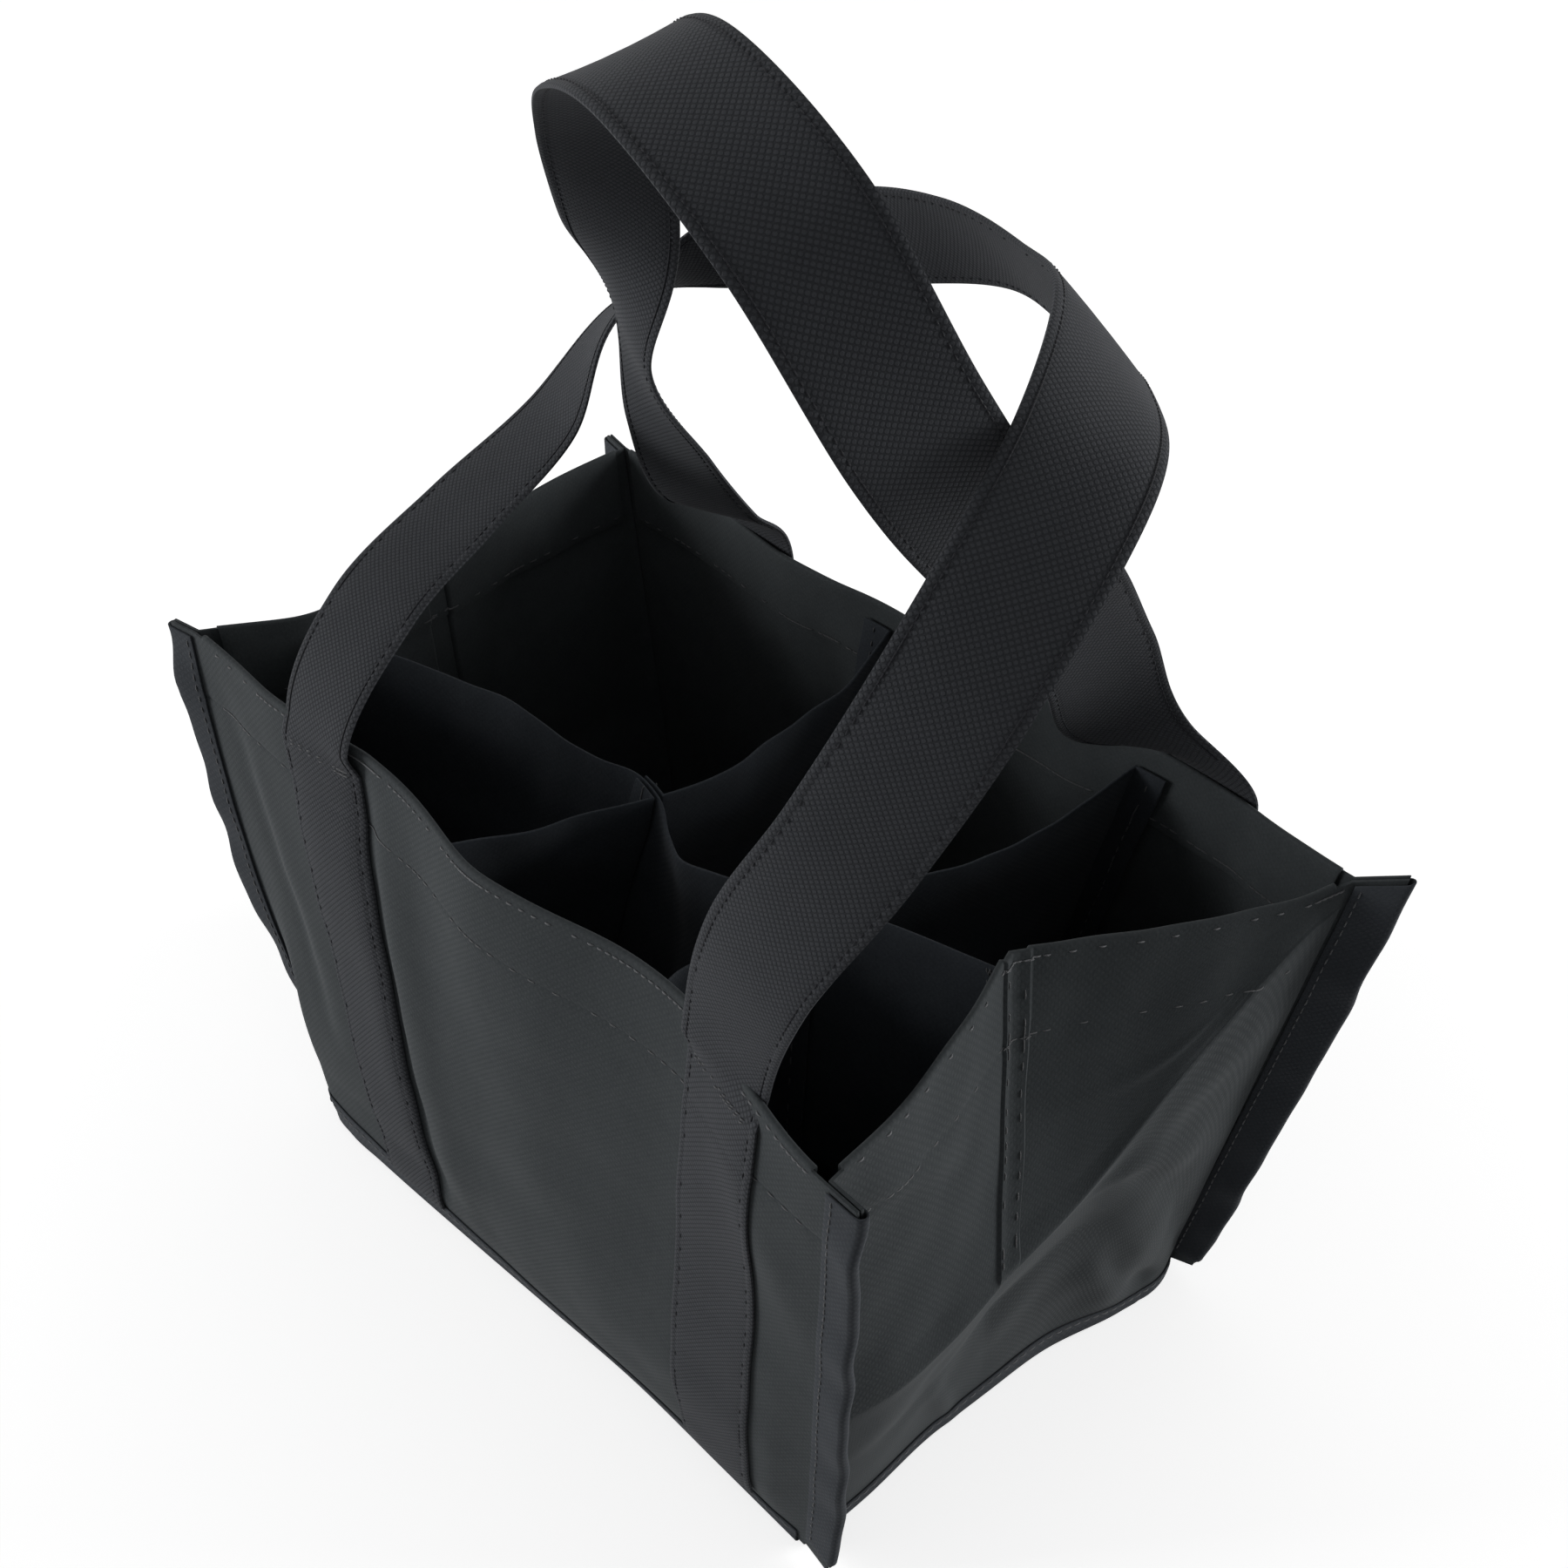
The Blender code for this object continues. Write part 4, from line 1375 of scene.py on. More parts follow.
def left_wall() -> EndWall:
    """Set out the left end wall, folded in less deeply than the right one.

    Returns:
        The wall's surface.
    """
    return EndWall(
        (BACK_LEFT_FOOT, FRONT_LEFT_FOOT), (BACK_LEFT_RIM, FRONT_LEFT_RIM), seed=53,
        bows=(STRAIGHT, LEFT_BOW),
        stations=np.array([0.0, 0.12, 0.25, 0.5, 0.66, 0.86, 1.0]),
        rim_line=millimetres(((-127, 67, 155), (-126, 50, 155), (-124, 32, 155), (-118, -8, 155),
                              (-115.5, -28, 155), (-113.5, -52, 155), (-125, -74, 155))),
        ridge_line=millimetres(((-117, 67, 66), (-117, 50, 68), (-116, 30, 70), (-113, -6, 74),
                                (-112, -30, 72), (-112, -52, 68), (-111, -72, 64))),
        shelf_line=millimetres(((-110, 67, 34), (-109, 50, 34), (-108, 30, 35), (-105, -6, 37),
                                (-104, -30, 36), (-104, -52, 34), (-103, -70, 32))),
        foot_line=millimetres(((-104, 67, 2.8), (-104, 50, 2.8), (-103, 30, 2.8),
                               (-100.5, -4, 2.8), (-100, -28, 2.8), (-98.5, -52, 2.8),
                               (-98, -68, 2.8))),
        folds=(Fold((0.30, 0.90), (0.46, 0.55), 1.5, 5.0), Fold((0.70, 0.85), (0.92, 0.60), 1.5, 5.0)))


# Where each foot tape ends, at the wall's left and right end. The front tape climbs to 9 mm at its left
# so that its darker cloth covers the wall's lower band, which faces down into shade: that extra height
# is painted shade.
FOOT_TAPE_AND_SHADE_BAND_TOPS = {"front": (9.0 * MM, 3.4 * MM), "right": (3.6 * MM, 3.6 * MM),
                  "back": (3.6 * MM, 3.6 * MM), "left": (3.6 * MM, 3.6 * MM)}
FOOT_TAPE_TURN = ((0.95, 2.4), (0.95, 1.7), (0.75, 1.1), (0.3, 0.6), (-0.4, 0.33), (-1.5, 0.28),
                  (-2.9, 0.28), (-4.7, 0.28))


@dataclass
class Shell:
    """The four walls, the bottom and the seams that join them."""

    shop: Workshop
    walls: dict[str, Wall] = field(init=False)
    edges: dict[str, Edge] = field(init=False)

    def __post_init__(self) -> None:
        """Set out the four walls and the seam edges between them."""
        self.walls = {"front": front_wall(), "right": right_wall(),
                      "back": back_wall(), "left": left_wall()}
        front, back = self.walls["front"], self.walls["back"]
        self.edges = {
            "front_left": Edge(front, -1, splay=(0.0, math.radians(18)), taper=(0.1, 0.45)),
            "front_right": Edge(front, 1, splay=(0.0, math.radians(6))),
            "back_right": Edge(back, -1, reach=BACK_RIGHT_FLANGE, splay=(0.0, math.radians(22)),
                               lift=5.0 * MM, taper=(0.73, 1.0), foot_lift=4.0 * MM),
            "back_left": Edge(back, 1, splay=(0.0, math.radians(10))),
        }

    def build(self) -> None:
        """Build walls, bottom, tapes and their stitching."""
        self.build_walls()
        self.build_bottom()
        self.build_upright_tapes()
        self.build_foot_tapes()
        self.sew_hems()
        self.sew_uprights()
        self.sew_foot()
        self.sew_middle()

    def patch(self, name: str, sides: tuple[str, str], columns: Array, rows: Array) -> Patch:
        """Lay out a wall by its name and the names of its edges."""
        return wall_patch(self.walls[name], tuple(self.edges[side] for side in sides),
                          columns, rows)

    def build_walls(self) -> None:
        """Build the four wall pieces."""
        seam = 1 - HEM_SEAM / HEIGHT + np.array([-1.6, -0.9, -0.4, 0, 0.4, 0.9, 1.6]) * MM / HEIGHT
        columns = merged(np.linspace(0, 1, 121), (0.012, 0.988))
        rows = merged(np.linspace(0, 0.14, 13), np.linspace(0.14, 1, 60), seam)
        for name, sides in (("front", ("front_left", "front_right")),
                            ("back", ("back_right", "back_left"))):
            self.shop.cloth(name + "_wall", self.patch(name, sides, columns, rows), Slot.FABRIC,
                            Hold.STRETCHED, name + "_panel")
        ribs = np.array([-4.2, -3.8, -3.4, -3.0, 0.0, 3.0, 3.4, 3.8, 4.2]) * MM
        for name, sides in (("right", ("front_right", "back_right")),
                            ("left", ("back_left", "front_left"))):
            wall = self.walls[name]
            columns = merged(np.linspace(0, 1, 97), (0.02, 0.98), 0.5 + ribs / wall.width())
            rows = merged(np.linspace(0, wall.split, 36), np.linspace(wall.split, 1, 90),
                          (wall.split - 0.008, wall.split + 0.008))
            self.shop.cloth(name + "_end_wall", self.patch(name, sides, columns, rows),
                            Slot.FABRIC, Hold.FOLDED, name + "_gusset")

    def build_bottom(self) -> None:
        """Build the bottom panel, flat in the middle and raised along its seams."""
        floor_gap, raised, margins = 0.4 * MM, 1.3 * MM, (0.024, 0.037)
        xs = merged(np.linspace(0, 0.03, 6), np.linspace(0.05, 0.95, 37), np.linspace(0.97, 1, 6))
        ys = merged(np.linspace(0, 0.045, 6), np.linspace(0.07, 0.93, 25),
                    np.linspace(0.955, 1, 6))
        x, y = np.meshgrid(xs, ys)
        spot = self.bottom_points(xs, ys)
        edge = np.minimum(np.minimum(x, 1 - x) / margins[0], np.minimum(y, 1 - y) / margins[1])
        spot[..., 2] = floor_gap + raised * clamp(1 - edge)
        self.shop.cloth("bottom_cloth", Patch.whole(spot), Slot.FABRIC, Hold.LAID, "bottom_panel")
        board = bpy.data.objects["base_board"]
        board.data.materials.clear()
        board.data.materials.append(self.shop.finishes.board)

    def bottom_points(self, xs: Array, ys: Array) -> Array:
        """Stretch the bottom panel between the four walls' feet.

        Args:
            xs: Shares along the bag, from left to right.
            ys: Shares across it, from front to back.

        Returns:
            A grid of points with a row for each share across.
        """
        corner_power = 9
        front, back = self.walls["front"].point(xs, 0), self.walls["back"].point(1 - xs, 0)
        left, right = self.walls["left"].point(1 - ys, 0), self.walls["right"].point(ys, 0)
        outer = []
        for long, end in ((front[0], left[0]), (front[-1], right[0]),
                          (back[0], left[-1]), (back[-1], right[-1])):
            outer.append(np.sign(long) * np.maximum(np.abs(long), np.abs(end)))
        for line, shares, first, last in ((front, xs, 0, 1), (back, xs, 2, 3),
                                          (left, ys, 0, 2), (right, ys, 1, 3)):
            near, far = (1 - shares[:, None]) ** corner_power, shares[:, None] ** corner_power
            line += (outer[first] - line[0]) * near + (outer[last] - line[-1]) * far
        x, y = (grid[..., None] for grid in np.meshgrid(xs, ys))
        flat = between(between(outer[0], outer[1], x), between(outer[2], outer[3], x), y)
        return between(front, back, y) + between(left[:, None], right[:, None], x) - flat

    def tape(self, name: str, node: str, grid: Array) -> None:
        """Make a tape from its points."""
        self.shop.cloth(name, Patch.whole(grid), Slot.BINDING, Hold.FOLDED, node, TAPE,
                        self.shop.finishes.tape)

    def build_upright_tapes(self) -> None:
        """Build the tape folded over each upright seam."""
        rows = np.linspace(0.03, 0.992, 70)
        for name, edge in self.edges.items():
            line, face = edge.seam(rows), edge.face(rows)
            shape = self.tape_shape(edge.reach, TAPE_STAND, LAYER + TAPE_STAND)
            grid = np.stack([line + edge.out(rows, a) - face * b for a, b in shape], 1)
            self.tape("seam_tape_" + name, "binding_" + name, grid)

    def build_foot_tapes(self) -> None:
        """Build the tape that runs from each wall's outside round its foot and under the bottom; the
        front tape's higher left end is painted shade.
        """
        columns = np.linspace(0.012, 0.988, 90)
        for name, wall in self.walls.items():
            rings = []
            for share in (1.0, 0.8, 0.6, 0.4, 0.2):
                up = share * self.foot_tape_top(name, columns)
                rings.append(wall.point(columns, up) + wall.outward(up) * FOOT_TAPE_STAND)
            foot = wall.point(columns, 0)
            for reach, height in FOOT_TAPE_TURN:
                ring = foot + wall.outward(0) * reach * MM
                ring[:, 2] = height * MM
                rings.append(ring)
            self.tape("foot_tape_" + name, "foot_binding_" + name, np.stack(rings, 1))

    @staticmethod
    def foot_tape_top(name: str, columns: Array) -> Array:
        """Return the share up its wall at which a foot tape ends."""
        return between(*FOOT_TAPE_AND_SHADE_BAND_TOPS[name], columns) / HEIGHT

    @staticmethod
    def tape_shape(reach: float, under: float, over: float) -> list[Pair]:
        """Draw the U of a folded tape.

        Args:
            reach: How far the seam's edges stand out.
            under: The lower leg's distance from the seam's middle.
            over: The upper leg's distance from it.

        Returns:
            Points out along the seam's edge and across it.
        """
        leg_steps, turn_steps, leg_start, leg_cut, play = 4, 8, 1.0 * MM, 0.8 * MM, 0.1 * MM
        radius, middle = (under + over) / 2, (over - under) / 2
        leg = [leg_start + (reach - leg_cut) * k / leg_steps for k in range(leg_steps)]
        turns = [math.pi * step / turn_steps for step in range(turn_steps + 1)]
        round_edge = [(reach + play + math.sin(turn) * radius, middle + math.cos(turn) * radius)
                      for turn in turns]
        return [(out, over) for out in leg] + round_edge + [(out, -under) for out in leg[::-1]]

    def sew_hems(self) -> None:
        """Sew the hem's row and the rim's top row on each wall, outside and inside."""
        across = np.linspace(0.02, 0.98, 160)
        rim_drop, rim_pitch, rim_radius = 1.4 * MM, 2.4 * MM, 0.24 * MM
        for name in ("front", "back", "right", "left"):
            wall = self.walls[name]
            up = wall.below_rim(across, HEM_SEAM)
            line, normals = wall.line(across, up, -2 * FOLD_RADIUS - SHEET / 2)
            self.shop.stitches("hem_stitches_" + name,
                               [Seam(*wall.line(across, up, SHEET / 2)), Seam(line, -normals)])
            top = wall.below_rim(across, rim_drop)
            row = Seam(*wall.line(across, top, SHEET / 2), pitch=rim_pitch, radius=rim_radius)
            self.shop.stitches("rim_stitches_" + name, [row],
                               material=self.shop.finishes.pale_thread)

    def sew_uprights(self) -> None:
        """Sew the row that holds each upright tape, through to its inner side."""
        rows = np.linspace(0.04, 0.985, 120)
        seam_reach, out = 2.8 * MM, TAPE_STAND + TAPE / 2
        runs = []
        for edge in self.edges.values():
            spot, face = edge.seam(rows) + edge.out(rows, seam_reach), edge.face(rows)
            runs.append(Seam(spot + face * out, face))
            runs.append(Seam(spot - face * (LAYER + out), -face))
        self.shop.stitches("upright_stitches", runs)

    def sew_foot(self) -> None:
        """Sew the row that holds the foot tapes."""
        columns = np.linspace(0.02, 0.98, 120)
        height_share = 0.7
        runs = []
        for name, wall in self.walls.items():
            up = height_share * self.foot_tape_top(name, columns)
            side = wall.outward(up)
            line = wall.point(columns, up) + side * (FOOT_TAPE_STAND + TAPE / 2)
            runs.append(Seam(line, side))
        self.shop.stitches("foot_stitches", runs)

    def sew_middle(self) -> None:
        """Sew the double row down each end wall's middle seam."""
        apart, clear, top = 2.3 * MM, 0.03, 0.985
        for name in ("right", "left"):
            wall = self.walls[name]
            up = np.linspace(wall.split + clear, top, 140)
            runs = [Seam(*wall.line(0.5 + shift / wall.width(), up, SHEET / 2))
                    for shift in (-apart, apart)]
            self.shop.stitches("middle_stitches_" + name, runs)


# ---- Dividers


def free_share(across: Array, up: Array) -> Array:
    """Return how freely a divider waves: not at its ends, and little near its foot."""
    still_below = 1 / 3
    return np.sin(math.pi * across) * clamp(up / still_below)


@dataclass
class LongDivider(Surface):
    """The divider from end wall to end wall, with a waved top.

    Attributes:
        left: The left end wall.
        right: The right end wall.
        left_share: Where across the left end wall it is caught.
        right_share: Where across the right one.
        foot: The height of its lower edge.
        top: The height of its upper edge at its ends.
        sag: How far the upper edge sags.
        ruffle: How far the upper edge waves up and down.
        ruffle_rate: How quickly it does so along the divider, in radians.
        wave_shares: How far it swings to the back, at even steps, as shares of wave_span.
        wave_span: What those shares are of.
    """

    left: EndWall
    right: EndWall
    left_share: float = 0.83
    right_share: float = 0.5
    foot: float = 14.0 * MM
    top: float = 150.0 * MM
    sag: float = 7.0 * MM
    ruffle: float = 1.2 * MM
    ruffle_rate: float = 31.0
    wave_shares: tuple[float, ...] = (0.0, 0.055, 0.08, 0.09, 0.07, -0.05, -0.035, -0.01, 0.0)
    wave_span: float = 146.0 * MM

    def height(self, across: Array, up: Array) -> Array:
        """Find the heights of places on the divider.

        Args:
            across: Shares from the left end wall to the right one.
            up: Shares up the divider.

        Returns:
            The height of each place.
        """
        swell = np.sin(math.pi * across)
        waves = self.ruffle * np.sin(across * self.ruffle_rate)
        return between(self.foot, self.top - self.sag * swell**2 + waves * swell, up)

    def wall_share(self, up: Array) -> Array:
        """Return the share up a wall that is as high as a share up the divider's end."""
        return share_up(between(self.foot, self.top, up))

    @staticmethod
    def anchor(wall: EndWall, share: float, z: Array) -> Array:
        """Find where the divider meets an end wall.

        Args:
            wall: The end wall.
            share: Where across that wall.
            z: The heights.

        Returns:
            Points just inside the wall at those heights.
        """
        line = wall.off(share, np.linspace(0, 1, 60), -DIVIDER_STAND)
        line = line[np.argsort(line[:, 2])]
        return np.stack([np.interp(z, line[:, 2], column) for column in line.T], -1)

    def point(self, across: Array, up: Array) -> Array:
        """Return the points of the divider's middle layer.

        Args:
            across: Shares from the left end wall to the right one.
            up: Shares up the divider.

        Returns:
            A point for each place.
        """
        wave_power = 1.2
        across, up = spread(across, up)
        z = self.height(across, up)
        spot = between(self.anchor(self.left, self.left_share, z),
                       self.anchor(self.right, self.right_share, z), across[..., None])
        places = np.linspace(0, 1, len(self.wave_shares))
        wave = through(across, places, np.array(self.wave_shares) * self.wave_span)
        spot[..., 1] += wave * up**wave_power
        spot[..., 1] += free_share(across, up) * slack(spot, (1.5 * MM, 0.05, 71),
                                                       (0.4 * MM, 0.02, 72))
        spot[..., 2] = z
        return spot


TAB_SHARE = 0.036
TAB_STEPS = (1.0, 0.5, 0.15)
TAB_SEAM = 0.02


@dataclass
class CrossDivider(Surface):
    """Half a cross divider, from the long divider to a long wall.

    Attributes:
        long: The long divider.
        wall: The wall that it reaches.
        meets: Where along the long divider it starts, at the foot and at the top.
        walls_at: Where across the wall it ends, at the foot and at the top.
        side: The side of the long divider, -1 in front and 1 behind.
        tab_way: The way its turned tabs point along the bag.
        seed: Picks the unevenness of the cloth.
    """

    long: LongDivider
    wall: Wall
    meets: Pair
    walls_at: Pair
    side: int
    tab_way: int
    seed: int

    def start(self, up: Array, shift: float = 0.0) -> Array:
        """Return its line along the long divider, or one that is shifted along it."""
        inner = between(*self.meets, up) + shift
        return self.long.point(inner, up) - self.long.normal(inner, up) * HALF_STAND * self.side

    def end(self, up: Array, shift: float = 0.0) -> Array:
        """Return its line inside the wall, or one that is shifted across the wall."""
        outer = between(*self.walls_at, up) + shift
        return self.wall.off(outer, self.long.wall_share(up), -DIVIDER_STAND)

    def point(self, across: Array, up: Array) -> Array:
        """Return the points of the divider's middle layer.

        Args:
            across: Shares from the long divider to the wall.
            up: Shares up the divider.

        Returns:
            A point for each place.
        """
        swing, sag = 5.0 * MM, 4.5 * MM
        across, up = spread(across, up)
        spot = between(self.start(up), self.end(up), across[..., None])
        swell = np.sin(math.pi * across) * up
        spot[..., 0] += swing * swell * self.side
        spot[..., 0] += free_share(across, up) * slack(spot, (1.8 * MM, 0.05, self.seed),
                                                       (0.4 * MM, 0.018, self.seed + 1))
        spot[..., 2] -= sag * swell
        return spot

    def patch(self, across: Array, up: Array) -> Patch:
        """Lay out the cloth with the tabs that are turned along both its neighbours.

        Args:
            across: Shares from the long divider to the wall.
            up: Shares up the divider.

        Returns:
            The grid of the cut piece.
        """
        shifts = [TAB_SHARE * k * self.tab_way for k in TAB_STEPS]
        near = [self.start(up, shift) for shift in shifts]
        far = [self.end(up, -shift * self.side) for shift in shifts[::-1]]
        grid = self.point(across[None], up[:, None])
        return Patch.whole(np.concatenate([np.stack(near, 1), grid, np.stack(far, 1)], 1))

    def seams(self, up: Array) -> list[Seam]:
        """Lay the rows of stitches that hold its two tabs.

        Args:
            up: Shares up the divider.

        Returns:
            The seam on the long divider and the one on the wall.
        """
        normals = self.long.normal(between(*self.meets, up), up) * -self.side
        line = self.start(up, TAB_SHARE * TAB_STEPS[1] * self.tab_way)
        across = between(*self.walls_at, up) - TAB_SEAM * self.side * self.tab_way
        spot, facing = self.wall.line(across, self.long.wall_share(up), -DIVIDER_STAND - SHEET / 2)
        return [Seam(line + unit(normals) * SHEET / 2, normals), Seam(spot, -facing)]


@dataclass
class Dividers:
    """The long divider, the four halves across it, and the tacks at its ends."""

    shop: Workshop
    shell: Shell

    def build(self) -> None:
        """Build every divider and the stitches that hold them."""
        walls = self.shell.walls
        long = LongDivider(walls["left"], walls["right"])
        up = np.linspace(0, 1, 50)
        self.build_cloth("long_divider", self.long_patch(long, np.linspace(0, 1, 150), up))
        halves = {
            "left_front": CrossDivider(long, walls["front"], (0.33, 0.50), (0.33, 0.44), -1, -1, 81),
            "left_back": CrossDivider(long, walls["back"], (0.33, 0.50), (0.67, 0.56), 1, -1, 83),
            "right_front": CrossDivider(long, walls["front"], (0.68, 0.75), (0.68, 0.73), -1, 1, 85),
            "right_back": CrossDivider(long, walls["back"], (0.68, 0.75), (0.32, 0.24), 1, 1, 87),
        }
        for name, half in halves.items():
            self.build_cloth("cross_divider", half.patch(np.linspace(0, 1, 45), up), "_" + name)
        runs = [seam for half in halves.values() for seam in half.seams(up)]
        self.shop.stitches("divider_stitches", runs)
        self.build_tacks(long)

    def build_cloth(self, kind: str, patch: Patch, place: str = "") -> None:
        """Make one divider's cloth from its kind and its place."""
        self.shop.cloth(kind + "_cloth" + place, patch, Slot.FABRIC, Hold.HUNG, kind + place,
                        material=self.shop.finishes.interior_shade_fabric)

    @staticmethod
    def long_patch(long: LongDivider, across: Array, up: Array) -> Patch:
        """Lay out the long divider with the tabs that are turned along the end walls.

        Args:
            long: The long divider.
            across: Shares from the left end wall to the right one.
            up: Shares up the divider.

        Returns:
            The grid of the cut piece.
        """
        tab, steps = 0.06, (1.0, 0.6, 0.25)
        grid = long.point(across[None], up[:, None])
        left = [long.anchor(long.left, long.left_share - tab * k, grid[:, 0, 2]) for k in steps]
        right = [long.anchor(long.right, long.right_share + tab * k, grid[:, -1, 2])
                 for k in steps[::-1]]
        return Patch.whole(np.concatenate([np.stack(left, 1), grid, np.stack(right, 1)], 1))

    def build_tacks(self, long: LongDivider) -> None:
        """Sew the tight clusters that catch the long divider's ends at the rim.

        Args:
            long: The long divider.
        """
        up, rows, spacing, slant = np.linspace(0.94, 1.0, 8), 7, 0.0022, 0.35
        for name, share in (("left", 0.012), ("right", 0.988)):
            runs = []
            for k in range(rows):
                across = share + (k - rows // 2) * spacing
                for side in (1, -1):
                    line, normals = long.line(across, up, side * SHEET / 2)
                    runs.append(Seam(line, normals * side, pitch=2.4 * MM,
                                     slant=slant * (-1) ** k))
            self.shop.stitches("divider_tack_thread_" + name, runs,
                               nodes=("divider_tack_" + name,))


# ---- Straps


# Each row: a place on the strap's middle line, as shares of the handles' reach from the middle of
# the rim, and the direction across the strap there.
FRONT_STATION_SHARES = (
    ((-0.73, -0.51, 0.22), (-1.0, -0.2, 0.0)),
    ((-0.77, -0.20, 0.35), (-1.0, 0.0, 0.0)),
    ((-0.77, 0.08, 0.49), (-1.0, 0.2, -0.1)),
    ((-0.71, 0.26, 0.74), (-0.7, 0.7, -0.2)),
    ((-0.49, 0.45, 0.91), (0.0, 0.6, -0.8)),
    ((-0.14, 0.56, 1.04), (0.3, 0.4, -0.9)),
    ((0.24, 0.51, 1.17), (0.4, 0.5, -0.8)),
    ((0.59, 0.35, 1.24), (0.4, 0.4, -0.8)),
    ((0.91, 0.12, 1.34), (0.6, 0.4, -0.7)),
    ((1.13, -0.17, 1.34), (0.7, 0.5, -0.4)),
    ((1.17, -0.48, 1.06), (0.8, 0.4, -0.4)),
    ((1.06, -0.62, 0.70), (0.8, 0.4, -0.4)),
    ((0.90, -0.71, 0.34), (0.9, 0.1, -0.4)),
)
BACK_STATION_SHARES = (
    ((-0.55, 0.386, 0.218), (-0.9, -0.50, 0.01)),
    ((-0.45, 0.174, 0.524), (-1.0, -0.20, 0.11)),
    ((-0.40, 0.022, 0.868), (-0.9, 0.31, 0.29)),
    ((-0.29, -0.089, 1.191), (-0.8, -0.60, 0.12)),
    ((-0.13, -0.241, 1.485), (-0.5, -0.80, -0.08)),
    ((0.12, -0.416, 1.710), (-0.3, -0.91, -0.28)),
    ((0.44, -0.553, 1.804), (-0.2, -0.91, -0.38)),
    ((0.79, -0.587, 1.674), (-0.3, -0.81, -0.48)),
    ((0.962, -0.474, 1.367), (-0.3, -0.82, -0.58)),
    ((0.962, -0.242, 1.071), (-0.35, -0.84, -0.41)),
    ((0.832, 0.141, 0.733), (-0.35, -0.84, -0.41)),
    ((0.776, 0.358, 0.462), (-0.35, -0.84, -0.41)),
    ((0.752, 0.571, 0.153), (-0.76, -0.56, -0.34)),
)
# Rows of the strap's grid, evenly spaced from foot to foot.
STRAP_ROWS = 560
# Columns of the strap's grid from its middle to one edge; they crowd at the stitches' groove.
STRAP_COLUMNS = np.array([0.2, 0.5, 0.77, 0.825, 0.855, 0.885, 0.93, 0.985, 1.0])


@dataclass
class Strap:
    """One strap: sewn up a wall, round as a free handle, and sewn down the same wall.

    Attributes:
        shop: The workshop.
        name: The strap's side of the bag.
        wall: The wall that it is sewn to.
        legs: Where across the wall each leg's middle runs, at the foot, middle and rim.
        lean: How far the loop leans from the CAD's rest pose.
        stations: The loop's places and the directions across the strap there.
        body: The handle's body.
        leg_foot: The height of the legs' lower ends on the wall.
        sewn_share: The share of the half width at which both rows of stitches run.
        groove_depth: How deep the stitches pull the strap in.
        groove_share: How far to each side of them they do, as a share of the half width.
    """

    shop: Workshop
    name: str
    wall: Wall
    legs: tuple[Triple, Triple]
    lean: float
    stations: tuple[tuple[Triple, Triple], ...]
    body: Body
    leg_foot: float = 7.0 * MM
    sewn_share: float = 0.855
    groove_depth: float = 0.16 * MM
    groove_share: float = 0.06
    middles: Array = field(init=False)
    across: Array = field(init=False)

    def __post_init__(self) -> None:
        """Set out the strap's middle line and its direction across."""
        first, first_way = self.leg_line(self.legs[0], -1)
        last, last_way = self.leg_line(self.legs[1], int(np.sign(self.stations[-1][1][0])))
        places, ways = (np.array(part) for part in zip(*self.stations))
        turn = np.array(Matrix.Rotation(self.lean, 3, "X")).T
        pivot = np.array([0, (first[-1, 1] + last[-1, 1]) / 2, 0])
        loop = (places * HANDLE_REACH - pivot) @ turn + pivot + UP * HINGE_Z
        points = np.concatenate([first, loop, last[::-1]])
        sides = np.concatenate([first_way, unit(ways) @ turn, last_way[::-1]])
        length = run_length(points)
        evenly = np.linspace(0, length[-1], STRAP_ROWS)
        self.middles = through(evenly, length, points)
        self.across = unit(through(evenly, length, sides))

    @staticmethod
    def leg_share(shares: Triple, up: Array) -> Array:
        """Return where across the wall a leg's middle runs, from foot to rim."""
        return through(clamp(up), (0.0, 0.5, 1.0), shares)

    def leg_line(self, shares: Triple, sign: int) -> tuple[Array, Array]:
        """Lay the strap's sewn leg on the wall.

        Args:
            shares: Where across the wall the strap's middle runs at the foot, middle and rim.
            sign: The world side that the strap's first edge faces.

        Returns:
            The middle line from the foot to just above the rim, and the direction across.
        """
        up = np.linspace(self.leg_foot / HEIGHT, 1.0, 12)
        line = self.wall.off(self.leg_share(shares, up), up, STRAP_STAND)
        way = self.wall.run(up)
        return line, way * (sign * np.sign(way[:, :1]))

    def facing(self) -> Array:
        """Return the strap's outer direction along its length."""
        along = unit(np.gradient(self.middles, axis=0))
        return unit(np.cross(along, self.across))

    def free(self) -> Array:
        """Find where the strap is sewn down and where it is free.

        Returns:
            A share for each station, from 0 where it is sewn to 1 where it is free.
        """
        blend = 30 * MM
        length = run_length(self.middles)
        leg = HEIGHT - self.leg_foot
        return clamp((length - leg) / blend) * clamp((length[-1] - leg - length) / blend)

    def groove(self, share: Array | float) -> Array:
        """Return how deep the rows of stitches pull the strap's face in."""
        return self.groove_depth * bump(np.abs(share) - self.sewn_share, self.groove_share)

    def on_wall(self, share: float) -> Array:
        """Follow the strap along a share of its width, close to the wall where it is sewn.

        Args:
            share: From -1 at one edge to 1 at the other.

        Returns:
            One point for each station along the strap.
        """
        cup, rim_blend = 0.5 * MM * share**2, 0.04
        free = self.free()[:, None]
        line = (self.middles + self.across * (STRAP_WIDTH / 2 * share)
                - self.facing() * cup * free)
        up = share_up(line[:, 2])
        half = STRAP_WIDTH / 2 / self.wall.width(0.6)
        spot = np.empty_like(line)
        middle = len(line) // 2
        for leg, rows in zip(self.legs, (slice(0, middle), slice(middle, None))):
            way = np.sign(self.across[rows][:, 0]) * np.sign(self.wall.run(0.5)[0])
            place = self.leg_share(leg, up[rows]) + share * half * way
            spot[rows] = self.wall.off(place, clamp(up[rows]), STRAP_STAND)
        hold = clamp((1.0 - up) / rim_blend)[:, None] * (1 - free)
        return between(line, spot, hold)

